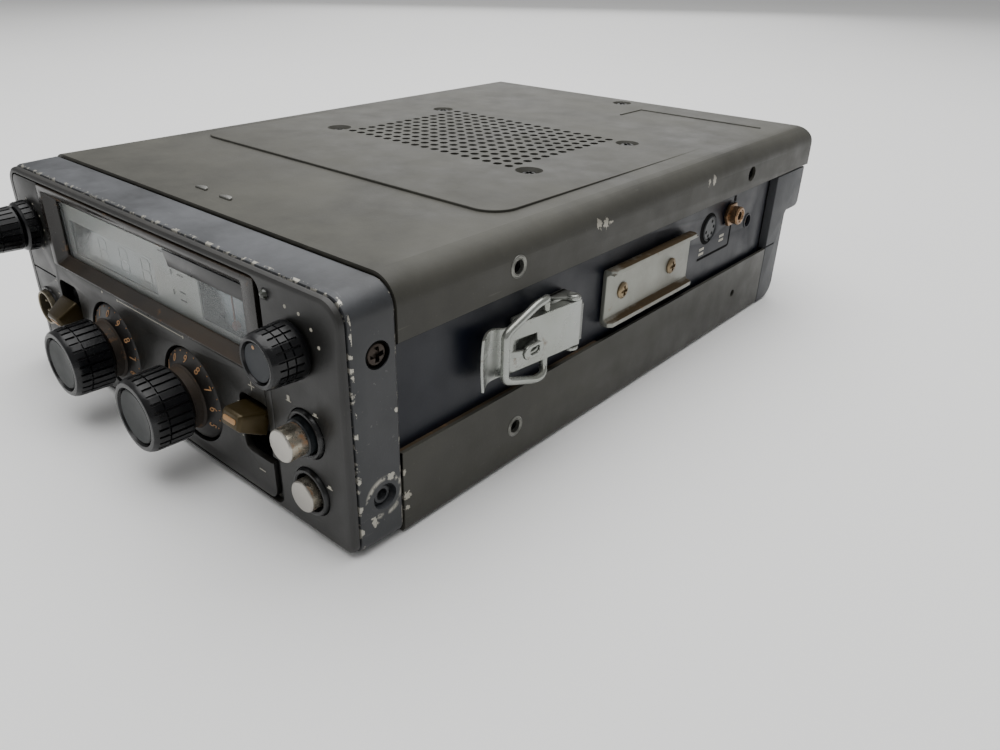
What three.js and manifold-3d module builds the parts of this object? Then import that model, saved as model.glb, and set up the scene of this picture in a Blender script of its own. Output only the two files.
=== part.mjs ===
// A mobile amateur-radio transceiver: cast front bezel, painted steel covers round a chassis,
// display window and controls at the front, quick-release rails and draw latches on the sides,
// and a stepped cast heat sink at the rear.
// Millimetres, +Z up, front panel facing -Y. The working coordinates have y = 0 at the front edge
// of the bezel and z = 0 under the bottom cover; the exported group shifts them so that the
// origin is the middle of the bottom cover's underside.

import * as THREE from "three";
import { mergeGeometries, mergeVertices } from "three/addons/utils/BufferGeometryUtils.js";
import Module from "manifold-3d";

const wasm = await Module();
wasm.setup();

// ---------------------------------------------------------------- driving dimensions
const WIDTH = 182; // over the bezel and the covers
const HEIGHT = 74; // bezel
const COVER_TOP = 74.8; // top cover's outside
const BEZEL_DEPTH = 14.3;
const COVER_FRONT = 14.9;
const TOP_COVER_REAR = 264;
const BOTTOM_COVER_REAR = 233.2;
const SHEET = 1.2; // cover sheet thickness
const UPPER_EDGE = 58; // lower edge of the top cover's sides
const LOWER_EDGE = 26; // upper edge of the bottom cover's sides
const PANEL_FACE = -2.3; // front face of the control panel
const BAND_X = 88.3; // outside of the chassis sides, seen between the covers
const BAND_Z = 42; // middle of that band
const GAP = 0.3; // clearance between touching pieces
const ORIGIN_Y = 124; // middle of the bottom cover

const HALF = WIDTH / 2;

// Controls: centre on the panel (x, z)
const VOLUME_AT = [-77.5, 54.3];
const MIC_AT = [-79, 22.5];
const DIAL_100_AT = [-30, 22.5];
const DIAL_10_AT = [17.5, 22.5];
const TONE_AT = [72.6, 56.7];
const LEVEL_BUTTON_AT = [74.2, 33];
const POWER_BUTTON_AT = [74.2, 15];
const BUSY_LAMP_AT = [62.9, 68.1];
const MHZ_LEVER = { x: -59.5, slotZ: 27.4, pivotY: 6, pivotZ: 31.5, tilt: -24.8 };
const OFFSET_LEVER = { x: 51, slotZ: 24.8, pivotY: 6, pivotZ: 25.8, tilt: 18 };

const COLLAR_R = 7;
const DIAL_R = 14.6; // numbered skirt
const DIAL_RECESS_R = 15.5;
const DIAL_FACE = -21; // front of a tuning knob
const TONE_FACE = -13.4;
const SLOT_W = 14; // lever slots
const SLOT_H = 19;

// Control plate and display window
const PLATE = { x0: -86.2, x1: 57, z0: 3.1, z1: 70.9 };
const WINDOW = { x0: -66, x1: 56.7, z0: 42.6, z1: 70.6 };
const VIEW = { x0: -60.5, x1: 50, z0: 46, z1: 66 }; // clear opening of the window
const DIGITS = { x0: -60, x1: -4, z0: 46.3, z1: 58.5 };
const METER = { x0: 20.8, x1: 48.4, z0: 46.3, z1: 60 };

// Speaker and its grille in the top cover. The cover's solid carries every second hole of the
// 17 by 13 field in both directions.
const SPEAKER = { x: 2, y: 143.7, holesX: 9, holesY: 7, pitch: 10.32, hole: 3.2 };
const PAD = { x: 76.5, y0: 68, y1: 200, rise: 0.8, corner: 9 }; // raised field of the top cover

// Side fittings
const RAIL = { y0: 107.5, y1: 162.5, z0: 30.8, z1: 50.8, out: 93.2, sheet: 1.6 };
const LATCH = { pinX: 95.2, pinY: 83, tabY: 42, width: 16.4 };
const BAIL = { x: 95.2, y: 71, wire: 2.6, half: 12.2, front: 50.6 };

// ---------------------------------------------------------------- materials
const paint = (color, roughness, metalness = 0) =>
  new THREE.MeshStandardMaterial({ color, roughness, metalness });
const BEZEL_PAINT = paint(0x4a4d54, 0.55, 0.2);
const COVER_PAINT = paint(0x6b6b64, 0.6, 0.1);
const BAND_PAINT = paint(0x33373f, 0.5, 0.3);
const PANEL_BLACK = paint(0x2d2d2e, 0.5);
const MATTE_BLACK = paint(0x161617, 0.6);
const KNOB_BLACK = paint(0x1a1a1b, 0.45);
const CAP_GREY = paint(0x4b4f50, 0.4, 0.5);
const SILVER = paint(0xcfcfca, 0.25, 0.9);
const CHROME = paint(0xc4c6c4, 0.15, 1);
const BRASS = paint(0xa98f5f, 0.35, 0.9);
const GOLD = paint(0x6e5f35, 0.35, 0.7);
const MASK_GREY = paint(0xa9aca6, 0.6);
const GLASS = paint(0x9fa8a8, 0.08);
const LAMP = paint(0x6d7468, 0.2);
const STEEL = paint(0x9a9c9c, 0.4, 0.9);
const BOARD = paint(0x5a6b3a, 0.6);
const FERRITE = paint(0x3a3a3c, 0.7);
const PAPER = paint(0x2a2724, 0.9);
const CAST = paint(0x55565a, 0.55, 0.4);
const NEEDLE_RED = paint(0xb03a20, 0.5);

// ---------------------------------------------------------------- solid helpers
// Joins and cuts are done on manifold-3d solids made from three.js geometries.
function solid(geometry) {
  const bare = geometry.clone();
  for (const name of Object.keys(bare.attributes)) {
    if (name !== "position") bare.deleteAttribute(name);
  }
  const merged = mergeVertices(bare, 1e-4);
  const vertProperties = new Float32Array(merged.attributes.position.array);
  const index = merged.index.array;
  const kept = [];
  for (let i = 0; i < index.length; i += 3) {
    const [a, b, c] = [index[i], index[i + 1], index[i + 2]];
    if (a !== b && b !== c && a !== c) kept.push(a, b, c);
  }
  const build = (list) =>
    new wasm.Manifold(
      new wasm.Mesh({ numProp: 3, vertProperties, triVerts: new Uint32Array(list) }),
    );
  const made = build(kept);
  if (made.volume() >= 0) return made;
  const turned = [];
  for (let i = 0; i < kept.length; i += 3) turned.push(kept[i], kept[i + 2], kept[i + 1]);
  return build(turned);
}

const root = new THREE.Group();
root.position.set(0, -ORIGIN_Y, 0);

// Adds one named piece to the assembly.
function piece(name, body, material) {
  const raw = body.getMesh();
  const count = raw.numProp;
  const points = new Float32Array(raw.numVert * 3);
  for (let i = 0; i < raw.numVert; i++) {
    points.set(raw.vertProperties.subarray(i * count, i * count + 3), i * 3);
  }
  const geometry = new THREE.BufferGeometry()
    .setAttribute("position", new THREE.BufferAttribute(points, 3))
    .setIndex(new THREE.BufferAttribute(new Uint32Array(raw.triVerts), 1));
  geometry.computeVertexNormals();
  const mesh = new THREE.Mesh(geometry, material);
  mesh.name = name;
  root.add(mesh);
  return mesh;
}

const join = (...bodies) => bodies.reduce((a, b) => a.add(b));
const cut = (body, ...tools) => tools.reduce((a, b) => a.subtract(b), body);

function box(x0, x1, y0, y1, z0, z1) {
  const g = new THREE.BoxGeometry(x1 - x0, y1 - y0, z1 - z0);
  return solid(g.translate((x0 + x1) / 2, (y0 + y1) / 2, (z0 + z1) / 2));
}

// Rounded rectangle outline, corners in the order lower, upper.
function outline(x0, x1, y0, y1, rLow, rHigh = rLow) {
  const s = new THREE.Shape();
  s.moveTo(x0 + rLow, y0);
  s.lineTo(x1 - rLow, y0);
  if (rLow > 0) s.absarc(x1 - rLow, y0 + rLow, rLow, -Math.PI / 2, 0);
  s.lineTo(x1, y1 - rHigh);
  if (rHigh > 0) s.absarc(x1 - rHigh, y1 - rHigh, rHigh, 0, Math.PI / 2);
  s.lineTo(x0 + rHigh, y1);
  if (rHigh > 0) s.absarc(x0 + rHigh, y1 - rHigh, rHigh, Math.PI / 2, Math.PI);
  s.lineTo(x0, y0 + rLow);
  if (rLow > 0) s.absarc(x0 + rLow, y0 + rLow, rLow, Math.PI, Math.PI * 1.5);
  return s;
}

const ALONG_Y = new THREE.Matrix4().makeBasis(
  new THREE.Vector3(1, 0, 0),
  new THREE.Vector3(0, 0, 1),
  new THREE.Vector3(0, -1, 0),
);
const ALONG_X = new THREE.Matrix4().makeBasis(
  new THREE.Vector3(0, 1, 0),
  new THREE.Vector3(0, 0, 1),
  new THREE.Vector3(1, 0, 0),
);

// A shape drawn in x, z and pulled from y0 to y1.
function pullY(shape, y0, y1, curveSegments = 3) {
  const g = new THREE.ExtrudeGeometry(shape, { depth: y1 - y0, bevelEnabled: false, curveSegments });
  return solid(g.applyMatrix4(ALONG_Y).translate(0, y1, 0));
}

// A shape drawn in y, z and pulled from x0 to x1.
function pullX(shape, x0, x1, curveSegments = 3) {
  const g = new THREE.ExtrudeGeometry(shape, { depth: x1 - x0, bevelEnabled: false, curveSegments });
  return solid(g.applyMatrix4(ALONG_X).translate(x0, 0, 0));
}

// A shape drawn in x, y and pulled from z0 to z1.
function pullZ(shape, z0, z1, curveSegments = 3) {
  const g = new THREE.ExtrudeGeometry(shape, { depth: z1 - z0, bevelEnabled: false, curveSegments });
  return solid(g.translate(0, 0, z0));
}

function cylinder(axis, at, r, from, to, sides = 20, rTo = r) {
  const g = new THREE.CylinderGeometry(rTo, r, to - from, sides).translate(0, (from + to) / 2, 0);
  if (axis === "x") return solid(g.rotateZ(-Math.PI / 2).translate(0, at[0], at[1]));
  if (axis === "z") return solid(g.rotateX(Math.PI / 2).translate(at[0], at[1], 0));
  return solid(g.translate(at[0], 0, at[1]));
}

// A turned body about a line along Y through (x, z); the profile is a list of [radius, y].
function turned(at, profile, sides = 20) {
  const points = profile.map(([r, y]) => new THREE.Vector2(r, y));
  return solid(new THREE.LatheGeometry(points, sides).translate(at[0], 0, at[1]));
}

// A block with a rectangle { x0, x1, z0, z1 } at each end along Y.
function tapered(front, yFront, back, yBack) {
  const corners = [
    [front, yFront],
    [back, yBack],
  ].flatMap(([r, y]) => [
    [r.x0, y, r.z0],
    [r.x1, y, r.z0],
    [r.x1, y, r.z1],
    [r.x0, y, r.z1],
  ]);
  const faces = [0, 1, 2, 0, 2, 3, 4, 6, 5, 4, 7, 6];
  for (let i = 0; i < 4; i++) {
    const j = (i + 1) % 4;
    faces.push(i, i + 4, j, j, i + 4, j + 4);
  }
  const g = new THREE.BufferGeometry()
    .setAttribute("position", new THREE.Float32BufferAttribute(corners.flat(), 3))
    .setIndex(faces);
  return solid(g);
}

const inset = (r, d) => ({ x0: r.x0 + d, x1: r.x1 - d, z0: r.z0 + d, z1: r.z1 - d });
const slab = (r, y0, y1) => box(r.x0, r.x1, y0, y1, r.z0, r.z1);

// ---------------------------------------------------------------- front bezel and panel
const BEZEL_WALL = 5;
const SIDE_SCREW = { y: 8.4, upperZ: 57.2, lowerZ: 15.9, recessR: 3.75, recess: 2.4, holeR: 1.7 };

function frontBezel() {
  let body = pullY(outline(-HALF, HALF, 0, HEIGHT, 7), 0, BEZEL_DEPTH);
  const w = BEZEL_WALL;
  body = cut(body, pullY(outline(w - HALF, HALF - w, w, HEIGHT - w, 4), -1, BEZEL_DEPTH + 1));
  for (const side of [-1, 1]) {
    for (const z of [SIDE_SCREW.upperZ, SIDE_SCREW.lowerZ]) {
      const at = [SIDE_SCREW.y, z];
      const outer = [side * HALF - 1, side * HALF + 1].map((v) => v + (side > 0 ? -1.4 : 1.4));
      body = cut(body, cylinder("x", at, SIDE_SCREW.recessR, outer[0], outer[1], 14));
      const through = side > 0 ? [HALF - 6, HALF] : [-HALF, 6 - HALF];
      body = cut(body, cylinder("x", at, SIDE_SCREW.holeR, through[0], through[1], 8));
    }
  }
  return body;
}

function bezelScrew(side) {
  const at = [SIDE_SCREW.y, SIDE_SCREW.upperZ];
  const seat = HALF - SIDE_SCREW.recess;
  const span = (a, b) => (side > 0 ? [a, b] : [-b, -a]);
  const head = span(seat + GAP, seat + 1.9);
  const shank = span(seat - 2.4, seat + GAP);
  const slotSpan = span(seat + 1.1, seat + 3);
  let body = cylinder("x", at, 3.2, head[0], head[1], 12);
  body = join(body, cylinder("x", at, 1.3, shank[0], shank[1], 8));
  const [y, z] = at;
  body = cut(body, box(slotSpan[0], slotSpan[1], y - 1.9, y + 1.9, z - 0.4, z + 0.4));
  return cut(body, box(slotSpan[0], slotSpan[1], y - 0.4, y + 0.4, z - 1.9, z + 1.9));
}

const slotShape = (lever, grow = 0) =>
  outline(
    lever.x - SLOT_W / 2 - grow,
    lever.x + SLOT_W / 2 + grow,
    lever.slotZ - SLOT_H / 2 - grow,
    lever.slotZ + SLOT_H / 2 + grow,
    2.5,
  );

// The moulding is the rim round the panel, the section with the tone knob and the push
// buttons, and the collar that plugs into the bezel.
function frontMoulding() {
  const rim = pullY(outline(-90, 90, 1, 73, 6.4), PANEL_FACE, -GAP);
  const plug = pullY(outline(-85.6, 85.6, 5.4, 68.6, 3.7), -GAP - 0.1, 4.6);
  const opening = { x0: PLATE.x0 - GAP, x1: 60.3, z0: PLATE.z0 - GAP, z1: PLATE.z1 + GAP };
  const hollow = pullY(outline(-83, 59.4, 8, 66, 2), -1, 6);
  const windowSeat = slab({ x0: -86, x1: VIEW.x1 + 3, z0: MIC_AT[1], z1: 69 }, -1, 6);
  let body = join(cut(rim, slab(opening, -5, 1)), cut(plug, hollow, slab(opening, -1, 0), windowSeat));
  body = cut(body, turned(MIC_AT, [[0, -1], [6.8, -1], [6.8, 6], [0, 6]], 20));
  body = cut(body, turned(TONE_AT, [[0, -4], [5.6, -4], [5.6, 6], [0, 6]], 20));
  for (const at of [LEVEL_BUTTON_AT, POWER_BUTTON_AT]) {
    body = cut(body, turned(at, [[0, -4], [COLLAR_R + GAP, -4], [COLLAR_R + GAP, 6], [0, 6]], 20));
  }
  return cut(body, turned(BUSY_LAMP_AT, [[0, -4], [1.6, -4], [1.6, 6], [0, 6]], 12));
}

function controlPlate() {
  let body = slab(PLATE, PANEL_FACE, -GAP);
  body = cut(body, box(WINDOW.x0 - GAP, PLATE.x1 + 1, -5, 5, WINDOW.z0 - GAP, PLATE.z1 + 1));
  for (const at of [DIAL_100_AT, DIAL_10_AT]) {
    body = cut(body, turned(at, [[0, -4], [DIAL_RECESS_R, -4], [DIAL_RECESS_R, 2], [0, 2]], 24));
  }
  body = cut(body, turned(VOLUME_AT, [[0, -4], [4.6, -4], [4.6, 2], [0, 2]], 16));
  body = cut(body, turned(MIC_AT, [[0, -4], [7.6, -4], [7.6, 2], [0, 2]], 20));
  return cut(body, pullY(slotShape(MHZ_LEVER), -4, 2), pullY(slotShape(OFFSET_LEVER), -4, 2));
}

function windowFrame() {
  const body = join(slab(WINDOW, PANEL_FACE, -GAP), slab(inset(VIEW, -2.4), -0.4, 1.2));
  return cut(body, tapered(inset(VIEW, -3.2), PANEL_FACE - 0.6, inset(VIEW, 0.2), 1.4));
}

function displayMask() {
  const body = slab(inset(VIEW, -2), 3.1, 3.6);
  return cut(body, slab(DIGITS, 3, 4), slab(METER, 3, 4));
}

// ---------------------------------------------------------------- display parts behind the mask
function digitDisplay() {
  let body = box(DIGITS.x0 + 1, DIGITS.x1 - 1, 3.9, 9, DIGITS.z0 - 1, DIGITS.z1 + 1);
  const pitch = (DIGITS.x1 - DIGITS.x0) / 4;
  for (let i = 0; i < 4; i++) {
    const x = DIGITS.x0 + pitch * (i + 0.5);
    const well = box(x - 4, x + 4, 3, 4.4, DIGITS.z0 + 1.6, DIGITS.z1 - 1.6);
    body = cut(body, well);
  }
  return body;
}

const METER_AXIS = [(METER.x0 + METER.x1) / 2, METER.z0 + 1.6];

function meterBody() {
  const body = box(METER.x0 - 1.2, METER.x1 + 1.2, 3.9, 22, METER.z0 - 1.2, METER.z1 + 0.8);
  return cut(body, box(METER.x0, METER.x1, 3, 7, METER.z0, METER.z1 - 0.4));
}

function meterNeedle() {
  const [x, z] = METER_AXIS;
  const hub = turned(METER_AXIS, [[0, 4.6], [1.2, 4.6], [1.2, 6.4], [0, 6.4]], 10);
  return join(hub, box(x - 0.25, x + 0.25, 5, 5.5, z, z + 10.6));
}

// ---------------------------------------------------------------- knobs, levers and buttons
function tuningDial(at) {
  const f = DIAL_FACE;
  return turned(at, [
    [0, f + 1.6],
    [8.8, f + 1.6],
    [9.3, f],
    [10.6, f],
    [11.5, f + 1.2],
    [11.7, -8.6],
    [9.6, -7],
    [9.6, -4],
    [DIAL_R - 1, -2],
    [DIAL_R, -1.2],
    [DIAL_R, 0],
    [3, 0],
    [3, 9],
    [0, 9],
  ], 24);
}

const dialCap = (at) =>
  turned(at, [[0, DIAL_FACE + 0.7], [7.6, DIAL_FACE + 0.5], [8.4, DIAL_FACE + 1.3], [0, DIAL_FACE + 1.3]], 20);

function toneKnob() {
  const f = TONE_FACE;
  return turned(TONE_AT, [
    [0, f + 1.3],
    [5.4, f + 1.3],
    [5.8, f],
    [6.6, f],
    [7.2, f + 0.9],
    [7.9, PANEL_FACE - 0.6],
    [3, PANEL_FACE - 0.6],
    [3, 9],
    [0, 9],
  ]);
}

const toneCap = () =>
  turned(TONE_AT, [[0, TONE_FACE + 0.4], [4.6, TONE_FACE + 0.3], [5.1, TONE_FACE + 1], [0, TONE_FACE + 1]]);

function squelchRing() {
  return turned(VOLUME_AT, [
    [3.1, -7.6],
    [7.8, -7.6],
    [8.6, -6.8],
    [8.8, PANEL_FACE - 0.4],
    [4.2, PANEL_FACE - 0.4],
    [4.2, 8],
    [3.1, 8],
    [3.1, -7.6],
  ]);
}

function volumeKnob() {
  return turned(VOLUME_AT, [
    [0, -20.6],
    [6.6, -20.6],
    [7.4, -19.8],
    [7.8, -8.2],
    [2.6, -8.2],
    [2.6, 12],
    [0, 12],
  ]);
}

// A faceted paddle on a flat arm. The arm turns about a line along X through the pivot.
function lever({ x, pivotY, pivotZ, tilt }) {
  const wide = (w, h) => ({ x0: x - w / 2, x1: x + w / 2, z0: pivotZ - h / 2, z1: pivotZ + h / 2 });
  const paddle = tapered(wide(7.6, 4.6), pivotY - 16.6, wide(10.6, 7), pivotY - 8.2);
  const arm = box(x - 2, x + 2, pivotY - 9, pivotY + 3, pivotZ - 1.4, pivotZ + 1.4);
  const hub = cylinder("x", [pivotY, pivotZ], 2.2, x - 3, x + 3, 12);
  const body = join(paddle, arm, hub);
  return body
    .translate([0, -pivotY, -pivotZ])
    .rotate([-tilt, 0, 0])
    .translate([0, pivotY, pivotZ]);
}

// A silver cap on a dark plunger; the plunger carries the rod into the push switch.
function pushButton(at, face) {
  return turned(at, [
    [0, face],
    [4.2, face],
    [4.6, face + 0.4],
    [4.6, face + 5.4],
    [5.2, face + 5.6],
    [5.2, 1.2],
    [1.6, 1.2],
    [1.6, 9],
    [0, 9],
  ], 16);
}

const buttonCollar = (at) =>
  turned(at, [
    [5.5, PANEL_FACE - 0.7],
    [6.5, PANEL_FACE - 0.9],
    [7, PANEL_FACE - 0.3],
    [7, 4.4],
    [5.5, 4.4],
    [5.5, PANEL_FACE - 0.7],
  ], 16);

function micSocket() {
  let body = turned(MIC_AT, [
    [0, -1.4],
    [5.6, -1.4],
    [5.6, -4.6],
    [6.4, -4.6],
    [6.8, -4],
    [6.8, -2.8],
    [7.2, -2.8],
    [7.2, -0.6],
    [6.4, -0.6],
    [6.4, 4.4],
    [6, 4.4],
    [6, 12],
    [0, 12],
  ]);
  for (let i = 0; i < 4; i++) {
    const a = Math.PI / 4 + (i * Math.PI) / 2;
    const pin = [MIC_AT[0] + 2.8 * Math.cos(a), MIC_AT[1] + 2.8 * Math.sin(a)];
    body = join(body, cylinder("y", pin, 0.7, -3.8, -1, 6));
  }
  return body;
}

// ---------------------------------------------------------------- sub-panel and switch bodies
const SUBPANEL_Y = [5.2, 6.6];
const behind = SUBPANEL_Y[1] + GAP;

const CONTROLS = [
  { name: "volume_squelch_control", at: VOLUME_AT, r: 6.2, bore: 4.5, depth: 16, size: 8 },
  { name: "selector_100khz", at: DIAL_100_AT, r: 5, bore: 3.3, depth: 20, size: 14 },
  { name: "selector_10khz", at: DIAL_10_AT, r: 5, bore: 3.3, depth: 20, size: 14 },
  { name: "tone_selector", at: TONE_AT, r: 4.6, bore: 3.3, depth: 15, size: 8.4 },
];
const PUSH_SWITCHES = [
  { name: "power_level_switch", at: LEVEL_BUTTON_AT },
  { name: "power_switch", at: POWER_BUTTON_AT },
];
const LEVER_SWITCHES = [
  { name: "megahertz_switch", lever: MHZ_LEVER },
  { name: "offset_switch", lever: OFFSET_LEVER },
];

function subpanel() {
  let body = box(-85, 85, SUBPANEL_Y[0], SUBPANEL_Y[1], 6.5, 67.5);
  body = cut(body, slab(inset(VIEW, -3.4), 5, 7));
  const bores = [...CONTROLS, { at: MIC_AT, r: 6.4 }, ...PUSH_SWITCHES.map((p) => ({ at: p.at, r: 2.6 }))];
  for (const { at, r } of bores) {
    body = cut(body, turned(at, [[0, 5], [r + GAP, 5], [r + GAP, 7], [0, 7]], 16));
  }
  for (const { lever: l } of LEVER_SWITCHES) {
    const reach = { x0: l.x - 3.6, x1: l.x + 3.6, z0: l.pivotZ - 6.4, z1: l.pivotZ + 6.4 };
    body = cut(body, slab(reach, 5, 7));
  }
  return body;
}

// A rotary control: square can, threaded bush through the sub-panel, open bore for the shaft.
function rotaryBody({ at, r, bore, depth, size }) {
  const [x, z] = at;
  const can = box(x - size, x + size, behind, behind + depth, z - size, z + size);
  const bush = turned(at, [[0, 4.6], [r, 4.6], [r, behind + 1], [0, behind + 1]], 16);
  return cut(join(can, bush), turned(at, [[0, 4], [bore, 4], [bore, behind + depth - 3], [0, behind + depth - 3]], 16));
}

function pushBody({ at: [x, z] }) {
  const can = box(x - 5, x + 5, behind, 28, z - 4.5, z + 4.5);
  return cut(can, turned([x, z], [[0, 4], [2.2, 4], [2.2, 20], [0, 20]], 12));
}

function leverSwitchBody({ lever: l }) {
  const can = box(l.x - 7, l.x + 7, behind, 24, l.pivotZ - 9, l.pivotZ + 9);
  return cut(can, box(l.x - 3.7, l.x + 3.7, behind - 1, 14, l.pivotZ - 7, l.pivotZ + 7));
}

// ---------------------------------------------------------------- covers
function topCover() {
  const rear = (d) => {
    const s = new THREE.Shape();
    const y = TOP_COVER_REAR - d;
    const z = COVER_TOP - d;
    const r = 7 - d;
    s.moveTo(COVER_FRONT - (d ? 1 : 0), UPPER_EDGE - (d ? 1 : 0));
    s.lineTo(y, UPPER_EDGE - (d ? 1 : 0));
    s.lineTo(y, z - r);
    s.absarc(y - r, z - r, r, 0, Math.PI / 2);
    s.lineTo(COVER_FRONT - (d ? 1 : 0), z);
    return s;
  };
  const shell = (d) => {
    const low = UPPER_EDGE - (d ? 2 : 0);
    const arch = outline(d - HALF, HALF - d, low, COVER_TOP - d, 0, 8 - d);
    return pullY(arch, 0, TOP_COVER_REAR + 5).intersect(pullX(rear(d), -HALF - 1, HALF + 1));
  };
  const field = outline(-PAD.x, PAD.x, PAD.y0, PAD.y1, PAD.corner);
  let body = join(shell(0), pullZ(field, COVER_TOP - 0.5, COVER_TOP + PAD.rise));
  body = cut(body, shell(SHEET));
  const holes = [];
  for (let i = 0; i < SPEAKER.holesX; i++) {
    for (let j = 0; j < SPEAKER.holesY; j++) {
      const x = SPEAKER.x + (i - (SPEAKER.holesX - 1) / 2) * SPEAKER.pitch;
      const y = SPEAKER.y + (j - (SPEAKER.holesY - 1) / 2) * SPEAKER.pitch;
      const hole = new THREE.CylinderGeometry(SPEAKER.hole / 2, SPEAKER.hole / 2, 8, 4);
      holes.push(hole.rotateX(Math.PI / 2).translate(x, y, COVER_TOP));
    }
  }
  body = cut(body, solid(mergeGeometries(holes)));
  for (const side of [-1, 1]) {
    const span = side > 0 ? [HALF - 3, HALF + 1] : [-HALF - 1, 3 - HALF];
    body = cut(body, cylinder("x", [60.5, 65.1], 2.4, span[0], span[1], 12));
    body = cut(body, cylinder("x", [205.7, 64.1], 2.4, span[0], span[1], 12));
  }
  return body;
}

function bottomCover() {
  const tray = (d) => outline(d - HALF, HALF - d, d, LOWER_EDGE + (d ? 1 : 0), 2 - d * 0.8, 0);
  let body = pullY(tray(0), COVER_FRONT, BOTTOM_COVER_REAR, 3);
  body = cut(body, pullY(tray(SHEET), COVER_FRONT - 1, BOTTOM_COVER_REAR + 1, 3));
  for (const side of [-1, 1]) {
    const span = side > 0 ? [HALF - 3, HALF + 1] : [-HALF - 1, 3 - HALF];
    body = cut(body, cylinder("x", [61.4, 13.2], 2.4, span[0], span[1], 12));
    body = cut(body, cylinder("x", [206, 13.3], 1.5, span[0], span[1], 12));
  }
  return body;
}

// ---------------------------------------------------------------- chassis and rear casting
const CHASSIS_REAR = 230.5;
const DECK = [38, 39.6];
const DECK_FRONT = 30;
const SIDE_SOCKET = { y: 181, z: 47, r: 5.2 };
const PHONO = { y: 196.5, z: 49.5, r: 3.6 };
const TRIMMER = { y: 215, z: 42.4, r: 2.2 };

function chassis() {
  const wall = 2.4;
  let body = box(-BAND_X + wall - 1, BAND_X - wall + 1, DECK_FRONT, CHASSIS_REAR, DECK[0], DECK[1]);
  for (const side of [-1, 1]) {
    const x = side > 0 ? [BAND_X - wall, BAND_X] : [-BAND_X, wall - BAND_X];
    body = join(body, box(x[0], x[1], COVER_FRONT, CHASSIS_REAR, 5, 69));
  }
  for (const { y, z, r } of [SIDE_SOCKET, PHONO, TRIMMER]) {
    body = cut(body, cylinder("x", [y, z], r + GAP, BAND_X - 4, BAND_X + 1, 16));
  }
  return body;
}

const HEATSINK = { front: 233.8, lower: 248, upper: 261, stepZ: 40, top: 57.4, fins: 9 };

function heatsink() {
  const h = HEATSINK;
  const side = new THREE.Shape();
  side.moveTo(h.front, 0.6);
  side.lineTo(h.lower - 6, 0.6);
  side.absarc(h.lower - 6, 6.6, 6, -Math.PI / 2, 0);
  side.lineTo(h.lower, h.stepZ);
  side.lineTo(h.upper - 2, h.stepZ);
  side.absarc(h.upper - 2, h.stepZ + 2, 2, -Math.PI / 2, 0);
  side.lineTo(h.upper, h.top);
  side.lineTo(h.front, h.top);
  let body = pullX(side, -HALF, HALF, 4);
  body = cut(body, box(-84, 84, h.front - 1, h.front + 6, 4, 54));
  for (let i = 0; i < h.fins; i++) {
    const x = -44 + i * 13;
    body = join(body, box(x - 1.2, x + 1.2, h.lower - 1, h.upper - 1.5, 5, h.stepZ + 1));
  }
  for (const { x, r } of REAR_HOLES) {
    body = cut(body, cylinder("y", [x, REAR_Z], r + GAP, h.front, h.upper, 20));
  }
  return body;
}

const REAR_Z = 20;
const ANTENNA = { x: -72, r: 8 };
const POWER_INLET = { x: 76, r: 6 };
const REAR_HOLES = [ANTENNA, POWER_INLET];

function antennaSocket() {
  const at = [ANTENNA.x, REAR_Z];
  return turned(at, [
    [0, 240],
    [ANTENNA.r, 240],
    [ANTENNA.r, 248.4],
    [10.6, 248.4],
    [10.6, 250],
    [7.8, 250],
    [7.8, 260.6],
    [6.4, 260.6],
    [6.4, 257.6],
    [2, 257.6],
    [2, 252],
    [0, 252],
  ], 18);
}

function powerInlet() {
  const at = [POWER_INLET.x, REAR_Z];
  return turned(at, [
    [0, 240],
    [POWER_INLET.r, 240],
    [POWER_INLET.r, 248.4],
    [8.4, 248.4],
    [8.4, 250.4],
    [5.4, 252.4],
    [4.4, 252.4],
    [4.4, 249],
    [0, 249],
  ], 16);
}

// ---------------------------------------------------------------- side sockets
function sideSocket() {
  const at = [SIDE_SOCKET.y, SIDE_SOCKET.z];
  let body = cylinder("x", at, SIDE_SOCKET.r, BAND_X - 8, BAND_X + 0.6, 16);
  for (let i = 0; i < 5; i++) {
    const a = (i * 2 * Math.PI) / 5;
    const hole = [at[0] + 3 * Math.cos(a), at[1] + 3 * Math.sin(a)];
    body = cut(body, cylinder("x", hole, 0.75, BAND_X - 4, BAND_X + 2, 6));
  }
  return body;
}

function phonoJack() {
  const at = [PHONO.y, PHONO.z];
  let body = cylinder("x", at, PHONO.r, BAND_X - 6, BAND_X + 6.4, 14);
  body = join(body, cylinder("x", at, 4.6, BAND_X + GAP, BAND_X + 1.4, 6));
  return cut(body, cylinder("x", at, 1.7, BAND_X - 3, BAND_X + 8, 12));
}

const trimmer = () =>
  cut(
    cylinder("x", [TRIMMER.y, TRIMMER.z], TRIMMER.r, BAND_X - 6, BAND_X - 1, 14),
    box(BAND_X - 1.8, BAND_X, TRIMMER.y - 1.7, TRIMMER.y + 1.7, TRIMMER.z - 0.35, TRIMMER.z + 0.35),
  );

// ---------------------------------------------------------------- rails and draw latches
const mirrored = (body, side) => (side > 0 ? body : body.mirror([1, 0, 0]));

function rail(side) {
  const back = BAND_X + GAP;
  const r = RAIL;
  const body = box(back, r.out, r.y0, r.y1, r.z0, r.z1);
  const trough = box(back + r.sheet, r.out + 1, r.y0 - 1, r.y1 + 1, r.z0 + r.sheet, r.z1 - r.sheet);
  return mirrored(cut(body, trough), side);
}

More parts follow.
